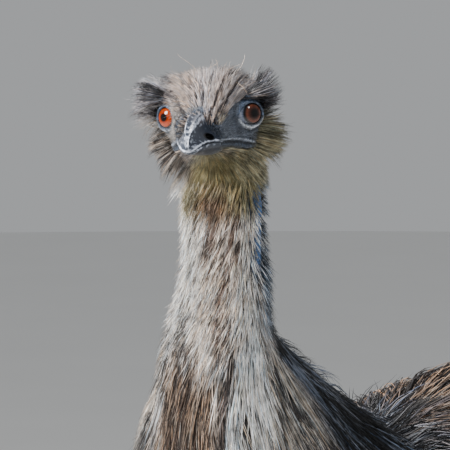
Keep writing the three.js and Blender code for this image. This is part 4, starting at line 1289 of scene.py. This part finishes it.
# %% Horn, claw and leg finishes
horn, shader = finish("bill_horn", 0.36, Specular_IOR_Level=0.5)
scratches = noise(horn, 260, 6, (1, 1, 1.6))
# This number is worn horn, with painted shade round the nostrils and a painted highlight on the shield's
# rims.
worn_and_painted_light = node(horn, "ShaderNodeMath", {0: scratches, 1: 1.5, 2: attribute(horn, "wear_and_painted_light", "Fac")},
            operation="MULTIPLY_ADD").outputs[0]
share = node(horn, "ShaderNodeMath", {0: worn_and_painted_light, 1: 0.5}, operation="MULTIPLY").outputs[0]
coloured(horn, shader, ramp(horn, share, [
    (0.0, (0.004, 0.004, 0.005)), (0.22, srgb("2a303c")), (0.46, srgb("2a303c")), (0.66, srgb("ccd4e4")),
]))
bumped(horn, shader, noise(horn, 300, 5), 0.35, 0.0006)

claw_finish, shader = finish("claw_horn", 0.4)
grain = grey_ramp(claw_finish, noise(claw_finish, 170, 4, (1, 0.3, 1)), 0.35, 0.7)
coloured(claw_finish, shader, tinted(claw_finish, srgb("1b1917"), srgb("5a5148"), grain))
bumped(claw_finish, shader, grain, 0.3, 0.0006)

leg_finish, shader = finish("leg_scales", 0.55)
spot = node(leg_finish, "ShaderNodeTexCoord").outputs["Object"]
cells = node(leg_finish, "ShaderNodeTexVoronoi", {"Vector": spot, "Scale": 210}, feature="DISTANCE_TO_EDGE")
creases = grey_ramp(leg_finish, cells.outputs["Distance"], 0.0, 0.16)
dust = grey_ramp(leg_finish, noise(leg_finish, 40, 5), 0.35, 0.7)
scale_colour = tinted(leg_finish, srgb("4c443d"), srgb("8a7f70"), dust)
coloured(leg_finish, shader, tinted(leg_finish, srgb("2a2522"), scale_colour, creases))
bumped(leg_finish, shader, creases, 0.4, 0.0009)

# %% [markdown]
# An emu has hairs on its head, soft short feathers on its neck and long loose double feathers on its
# body. Each kind is one row of sizes in millimetres: how long and wide, how many join in a tuft, how
# far they stand, hang and curl. One function then grows any kind where a density allows it.

# %% Coat kinds
KINDS = {
    "head": dict(steps=3, length=17, width=0.46, tuft=4, tuft_swing=0.04, frizz=0.035, rise=0.4, sink=0.8,
                 lift=0.06, top=22, droop=0.0, curl=0.04, gather=0.25, flow=0.4),
    "neck": dict(steps=3, length=27, width=0.6, tuft=4, tuft_swing=0.08, frizz=0.11, rise=0.4, sink=1.2,
                 lift=0.08, top=15, droop=0.08, curl=0.1, gather=0.2),
    "mane": dict(steps=4, length=54, width=0.95, tuft=9, tuft_swing=0.12, frizz=0.06, rise=0.2, sink=1.5,
                 lift=0.07, top=18, droop=0.1, curl=0.05, gather=0.75),
    "lower_neck": dict(steps=4, length=76, width=1.15, tuft=9, tuft_swing=0.12, frizz=0.07, rise=0.22,
                       sink=2, lift=0.07, top=22, droop=0.1, curl=0.07, gather=0.85),
    "body": dict(steps=5, length=145, width=1.9, tuft=8, tuft_swing=0.13, frizz=0.09, rise=0.16, sink=3,
                 lift=0.05, top=27, droop=0.12, curl=0.07, gather=0.6),
    "thigh": dict(steps=3, length=70, width=1.6, tuft=7, tuft_swing=0.12, frizz=0.1, rise=0.2, sink=2,
                  lift=0.06, top=20, droop=0.1, curl=0.1, gather=0.5),
    "tail": dict(steps=6, length=200, width=2.2, tuft=8, tuft_swing=0.12, frizz=0.08, rise=0.05, sink=3,
                 lift=0.05, top=110, droop=0.5, curl=0.06, gather=0.5),
    "bristle": dict(steps=2, length=4.5, width=0.28, tuft=2, tuft_swing=0.3, frizz=0.4, rise=0.7, sink=0.4,
                    lift=0.2, top=5, droop=0.05, curl=0.2, gather=0),
    "wisp": dict(steps=6, length=30, width=0.42, tuft=2, tuft_swing=0.3, frizz=0.3, rise=0.5, sink=1,
                 lift=0.2, top=40, droop=0.1, curl=0.22, gather=0),
}


def coat(name, kind, count, density, lay, unwrap, slot, nodes, scale=None, rise=None, ceiling=None,
         palette=None):
    roots, normals = skin_samples(density, count)
    size = scale(roots) if scale else 1.0
    up = rise(roots) if rise else KINDS[kind]["rise"]
    most = ceiling(roots) if ceiling else 1.0
    line, across, tuft = grow(roots, normals, KINDS[kind], lay, size, up, most)
    if slot == "head_feathers":
        kept = clear_of_eyes(line)
        line, across, tuft, roots = line[:, kept], across[:, kept], tuft[kept], roots[kept]
    steps = KINDS[kind]["steps"]
    colours = (palette or strand_colours)(line[(steps + 1) // 2], tuft, steps)
    width = KINDS[kind]["width"] * MM * rng.uniform(0.7, 1.2, len(roots))
    return blades(name, line, across, width, colours, unwrap(roots), feather, nodes)


def station_of(points):
    return TRUNK.locate(points)[0]


def between(low, high, soft=0.15):
    def density(points, normals):
        s = station_of(points)
        inside = ease(s, low - soft, low + soft) * (1 - ease(s, high - soft, high + soft))
        return inside * (1 - on_thigh(points))
    return density


def head_part(side, top):
    def density(points, normals):
        h = to_head(points)
        part = (h[:, 2] > 4) if top else (h[:, 2] <= 4)
        return feathered(points) * ease(h[:, 2], -52, -44) * (side * h[:, 0] > 0) * part
    return density


def neck_part(low, high, soft=0.15):
    inner = between(low, high, soft)

    def density(points, normals):
        return inner(points, normals) * (1 - ease(to_head(points)[:, 2], -50, -42))
    return density


# %% [markdown]
# Crown and cheeks are grown apart for each side, so that no mesh gets too large. Tiny bristles dot
# the bare lores, as they do on the bird, and a few long wisps stand out of the crown.

# %% Head coat
for side, word in ((1, "left"), (-1, "right")):
    coat("crown_feathers_" + word, "head", 7400, head_part(side, True), head_lay, head_unwrap,
         "head_feathers", ["head"], head_length, head_rise)
    coat("cheek_feathers_" + word, "head", 6300, head_part(side, False), head_lay, head_unwrap,
         "head_feathers", ["head"], head_length, head_rise)


FAR_OFF = 99


def lore_density(points, normals):
    h = to_head(points)
    ahead, z = -h[:, 1], h[:, 2]
    from_left = lid_place(points, 1)[0] + FAR_OFF * (h[:, 0] < 0)
    from_right = lid_place(points, -1)[0] + FAR_OFF * (h[:, 0] > 0)
    off = np.minimum(from_left, from_right)
    return (1 - feathered(points)) * ease(ahead, -14, -8) * ease(z, -18.5, -15.5) * ease(off, 5, 7)


def bristle_colours(roots, tuft, steps):
    """Pale hairs on the lores of the bird's right, dark ones on its left."""
    pale = np.where((to_head(roots)[:, 0] < 0)[:, None], srgb("7f7b78"), srgb("737a86"))
    shade = rng.uniform(0.4, 1.3, len(roots))[:, None]
    return np.repeat((pale * shade)[:, None, :], steps + 1, axis=1)


coat("lore_bristles", "bristle", 3000, lore_density, head_lay, head_unwrap, "head_feathers", ["head"],
     palette=bristle_colours)
coat("head_wisps", "wisp", 280, lambda p, n: feathered(p) * ease(to_head(p)[:, 2], -50, -40), head_lay,
     head_unwrap, "head_feathers", ["head"], lambda p: 0.5 + 0.6 * ease(to_head(p)[:, 2], 0, 20),
     palette=lambda p, tuft, steps: strand_colours(p, tuft, steps) * np.array([1.25, 1.15, 1.0]))

# %% [markdown]
# The neck's feathers are thin at the top, where the blue skin shows between them, and grow longer
# and heavier towards the shoulders. Three coats overlap, so that no edge shows where they meet.

# %% Neck coat
def upper_length(points):
    s, angle, _ = TRUNK.locate(points)
    aside = ease(around(angle), 45, 75) * ease(s, 10.2, 10.8)
    return 0.78 - 0.25 * aside - 0.2 * bare_neck(points)


def upper_rise(points):
    return 0.5 + 1.0 * bare_neck(points)


def fringe(points):
    """1 on the bird's right of the lower neck, where loose strands stand away."""
    s, angle, _ = TRUNK.locate(points)
    return ease(-signed_around(angle), 40, 62) * (1 - ease(s, 8.4, 8.9))


coat("neck_feathers_upper", "neck", 9200,
     lambda p, n: neck_part(9.3, 12.5)(p, n) * (1 - 0.93 * bare_neck(p)), trunk_lay, trunk_unwrap,
     "neck_feathers", ["neck_upper"], upper_length, upper_rise)
coat("neck_feathers_middle", "mane", 8200, neck_part(7.9, 9.5), trunk_lay, trunk_unwrap, "neck_feathers",
     ["neck_middle"], lambda p: 1.1 - 0.45 * ease(station_of(p), 8.8, 9.5), lambda p: 0.2 + 0.5 * fringe(p))
coat("neck_feathers_lower", "lower_neck", 7500, between(6.2, 8.1), trunk_lay, trunk_unwrap, "neck_feathers",
     ["neck_lower"], lambda p: 1.1 - 0.2 * ease(station_of(p), 7.2, 8.2), lambda p: 0.22 + 0.5 * fringe(p))


# %% [markdown]
# The body's plumage hangs like a thatch. A ceiling keeps it low along the spine and lets it stand
# further under the belly, and more strands grow on the saddle, where the bend spreads them apart.
# The wings are no more than two small tufts at the sides, as an emu's are.

# %% Body coat
def spine_ceiling(points):
    s, angle, _ = TRUNK.locate(points)
    spine = ease(around(angle), 110, 150) * ease(s, 4.2, 5.2)
    return 1 - 0.5 * spine + 1.2 * (1 - ease(around(angle), 30, 65)) * (1 - ease(s, 5.0, 6.0))


def body_rise(points):
    s, angle, _ = TRUNK.locate(points)
    return 0.17 - 0.15 * ease(around(angle), 90, 130) * ease(s, 4.0, 5.0)


def torso_part(low, high):
    inner = between(low, high)

    def density(points, normals):
        s, angle, _ = TRUNK.locate(points)
        saddle = ease(around(angle), 80, 120) * bell(s - 5.2, 0.8)
        return inner(points, normals) * (1 + 2.2 * saddle)
    return density


for name, low, high, count in (
    ("shoulder", 4.6, 6.3, 6200),
    ("back", 2.9, 4.6, 3900),
    ("rump", 0.9, 2.9, 3900),
):
    coat("body_feathers_" + name, "body", count, torso_part(low, high), trunk_lay, trunk_unwrap,
         "body_feathers", ["torso"], rise=body_rise, ceiling=spine_ceiling)
coat("tail_feathers", "tail", 1400, between(0.0, 1.3), trunk_lay, trunk_unwrap, "body_feathers", ["tail"])


def wing_density(side):
    def density(points, normals):
        s, angle, _ = TRUNK.locate(points)
        level = np.degrees(angle) if side > 0 else np.degrees(np.angle(np.exp(1j * (math.pi - angle))))
        return bell(s - 5.4, 0.35) * bell(level - 2, 14)
    return density


for side, word in ((1, "left"), (-1, "right")):
    coat("wing_feathers_" + word, "body", 260, wing_density(side), trunk_lay, trunk_unwrap,
         "body_feathers", ["wing_" + word], rise=lambda p: 0.35)

# %% [markdown]
# Feathers cover the thighs down to the hock and hang along the leg. They are shorter and stiffer
# than the body's, so they are a kind of their own.

# %% Thigh coat
for side, word in ((1, "left"), (-1, "right")):
    coat("thigh_feathers_" + word, "thigh", 2300, lambda p, n: on_thigh(p) * (leg_of(p) == side),
         thigh_lay, trunk_unwrap, "body_feathers", ["thigh_" + word])

# %% [markdown]
# The skin, eyes, bill, legs and claws now get their finishes. Each rides on the bird's one body and
# takes the place of the solids that it was modelled on, so none of them shows through.

# %% Dress the smooth pieces
def dressed(piece, finish_used, slot, *nodes):
    piece.data.materials.clear()
    piece.data.materials.append(finish_used)
    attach(piece, "root")
    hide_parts(*nodes)


dressed(skin, face_skin, "face_skin", "torso", "tail", "neck_lower", "neck_middle", "neck_upper", "head",
        "ear_left", "ear_right", "thigh_left", "thigh_right", "wing_left", "wing_right")
for word in ("left", "right"):
    dressed(eyes[word], eye_finish[word], "eye", "eye_" + word)
    leg_nodes = [part + word for part in ("shank_", "hock_", "tarsus_", "foot_")]
    dressed(legs[word], leg_finish, "leg_skin", *leg_nodes)
    dressed(claws[word], claw_finish, "claw_horn", *("claw_" + toe + "_" + word for toe in TOES))
dressed(bills["upper_bill"], horn, "bill_horn", "bill_upper")
dressed(bills["lower_bill"], horn, "bill_horn", "bill_lower")

# %% [markdown]
# The camera looks at the head from 50 degrees round and 6 above, through a long lens, as a portrait
# is taken. Its frame is set from three given directions, which keeps the picture upright.

# %% Camera
AZIMUTH, ELEVATION = math.radians(50), math.radians(6)
VIEW_DISTANCE, VIEW_ANGLE = 3.2, math.radians(6.157)
PAST_EYES, BELOW_EYES = 0.0115, 0.084
ahead = Vector((-math.sin(AZIMUTH), math.cos(AZIMUTH), 0))
view_right = Vector((math.cos(AZIMUTH), math.sin(AZIMUTH), 0))
view_ahead = ahead * math.cos(ELEVATION) - Vector((0, 0, 1)) * math.sin(ELEVATION)
view_up = ahead * math.sin(ELEVATION) + Vector((0, 0, 1)) * math.cos(ELEVATION)
target = Vector(EYE_MID) + view_right * PAST_EYES - view_up * BELOW_EYES
camera_data = bpy.data.cameras.new("camera")
camera_data.angle = VIEW_ANGLE
camera_data.clip_start, camera_data.clip_end = 0.05, 60
camera = bpy.data.objects.new("camera", camera_data)
camera.matrix_world = Matrix.Translation(target - view_ahead * VIEW_DISTANCE) @ Matrix(
    (view_right, view_up, -view_ahead)
).transposed().to_4x4()
bpy.context.scene.collection.objects.link(camera)
bpy.context.scene.camera = camera
print("camera", VIEW_DISTANCE, "m from", tuple(round(x, 3) for x in target))


# %% [markdown]
# Strong light from the picture's left models the head, as daylight does in the photo. A small lamp
# above opens the shadows, one behind edges the loose hairs with light, and a pale sky fills the rest.
# The floor is a plain pale disc, wide enough that its rim is never seen.

# %% Lamps and floor
def lamp(name, right, up, back, size, power, tint):
    data = bpy.data.lights.new(name, "AREA")
    data.shape, data.size, data.energy, data.color = "DISK", size, power, tint
    place = bpy.data.objects.new(name, data)
    at = target + view_right * right + Vector((0, 0, up)) - ahead * back
    place.location = at
    place.rotation_euler = (target - at).to_track_quat("-Z", "Y").to_euler()
    bpy.context.scene.collection.objects.link(place)


lamp("key", -2.5, 1.6, 0.8, 1.4, 335, (1.0, 0.98, 0.95))
lamp("top", 0.9, 2.3, 1.4, 0.6, 44, (0.96, 0.98, 1.0))
lamp("rim", -1.5, 1.8, -2.0, 1.0, 75, (1.0, 1.0, 1.0))
FLOOR_RADIUS = 12
world = bpy.data.worlds.new("studio")
world.use_nodes = True
sky = world.node_tree.nodes["Background"]
sky.inputs["Color"].default_value = (0.82, 0.84, 0.86, 1)
sky.inputs["Strength"].default_value = 0.46
bpy.context.scene.world = world

bm = bmesh.new()
bmesh.ops.create_circle(bm, cap_ends=True, segments=96, radius=FLOOR_RADIUS)
floor = object_of("floor", bm)
floor_finish, shader = finish("studio_floor", 0.75)
coloured(floor_finish, shader, tinted(floor_finish, (0.78, 0.78, 0.77), (0.82, 0.82, 0.81),
                                      noise(floor_finish, 3)))
floor.data.materials.append(floor_finish)
print("three lamps, a sky and a floor", 2 * FLOOR_RADIUS, "m across")
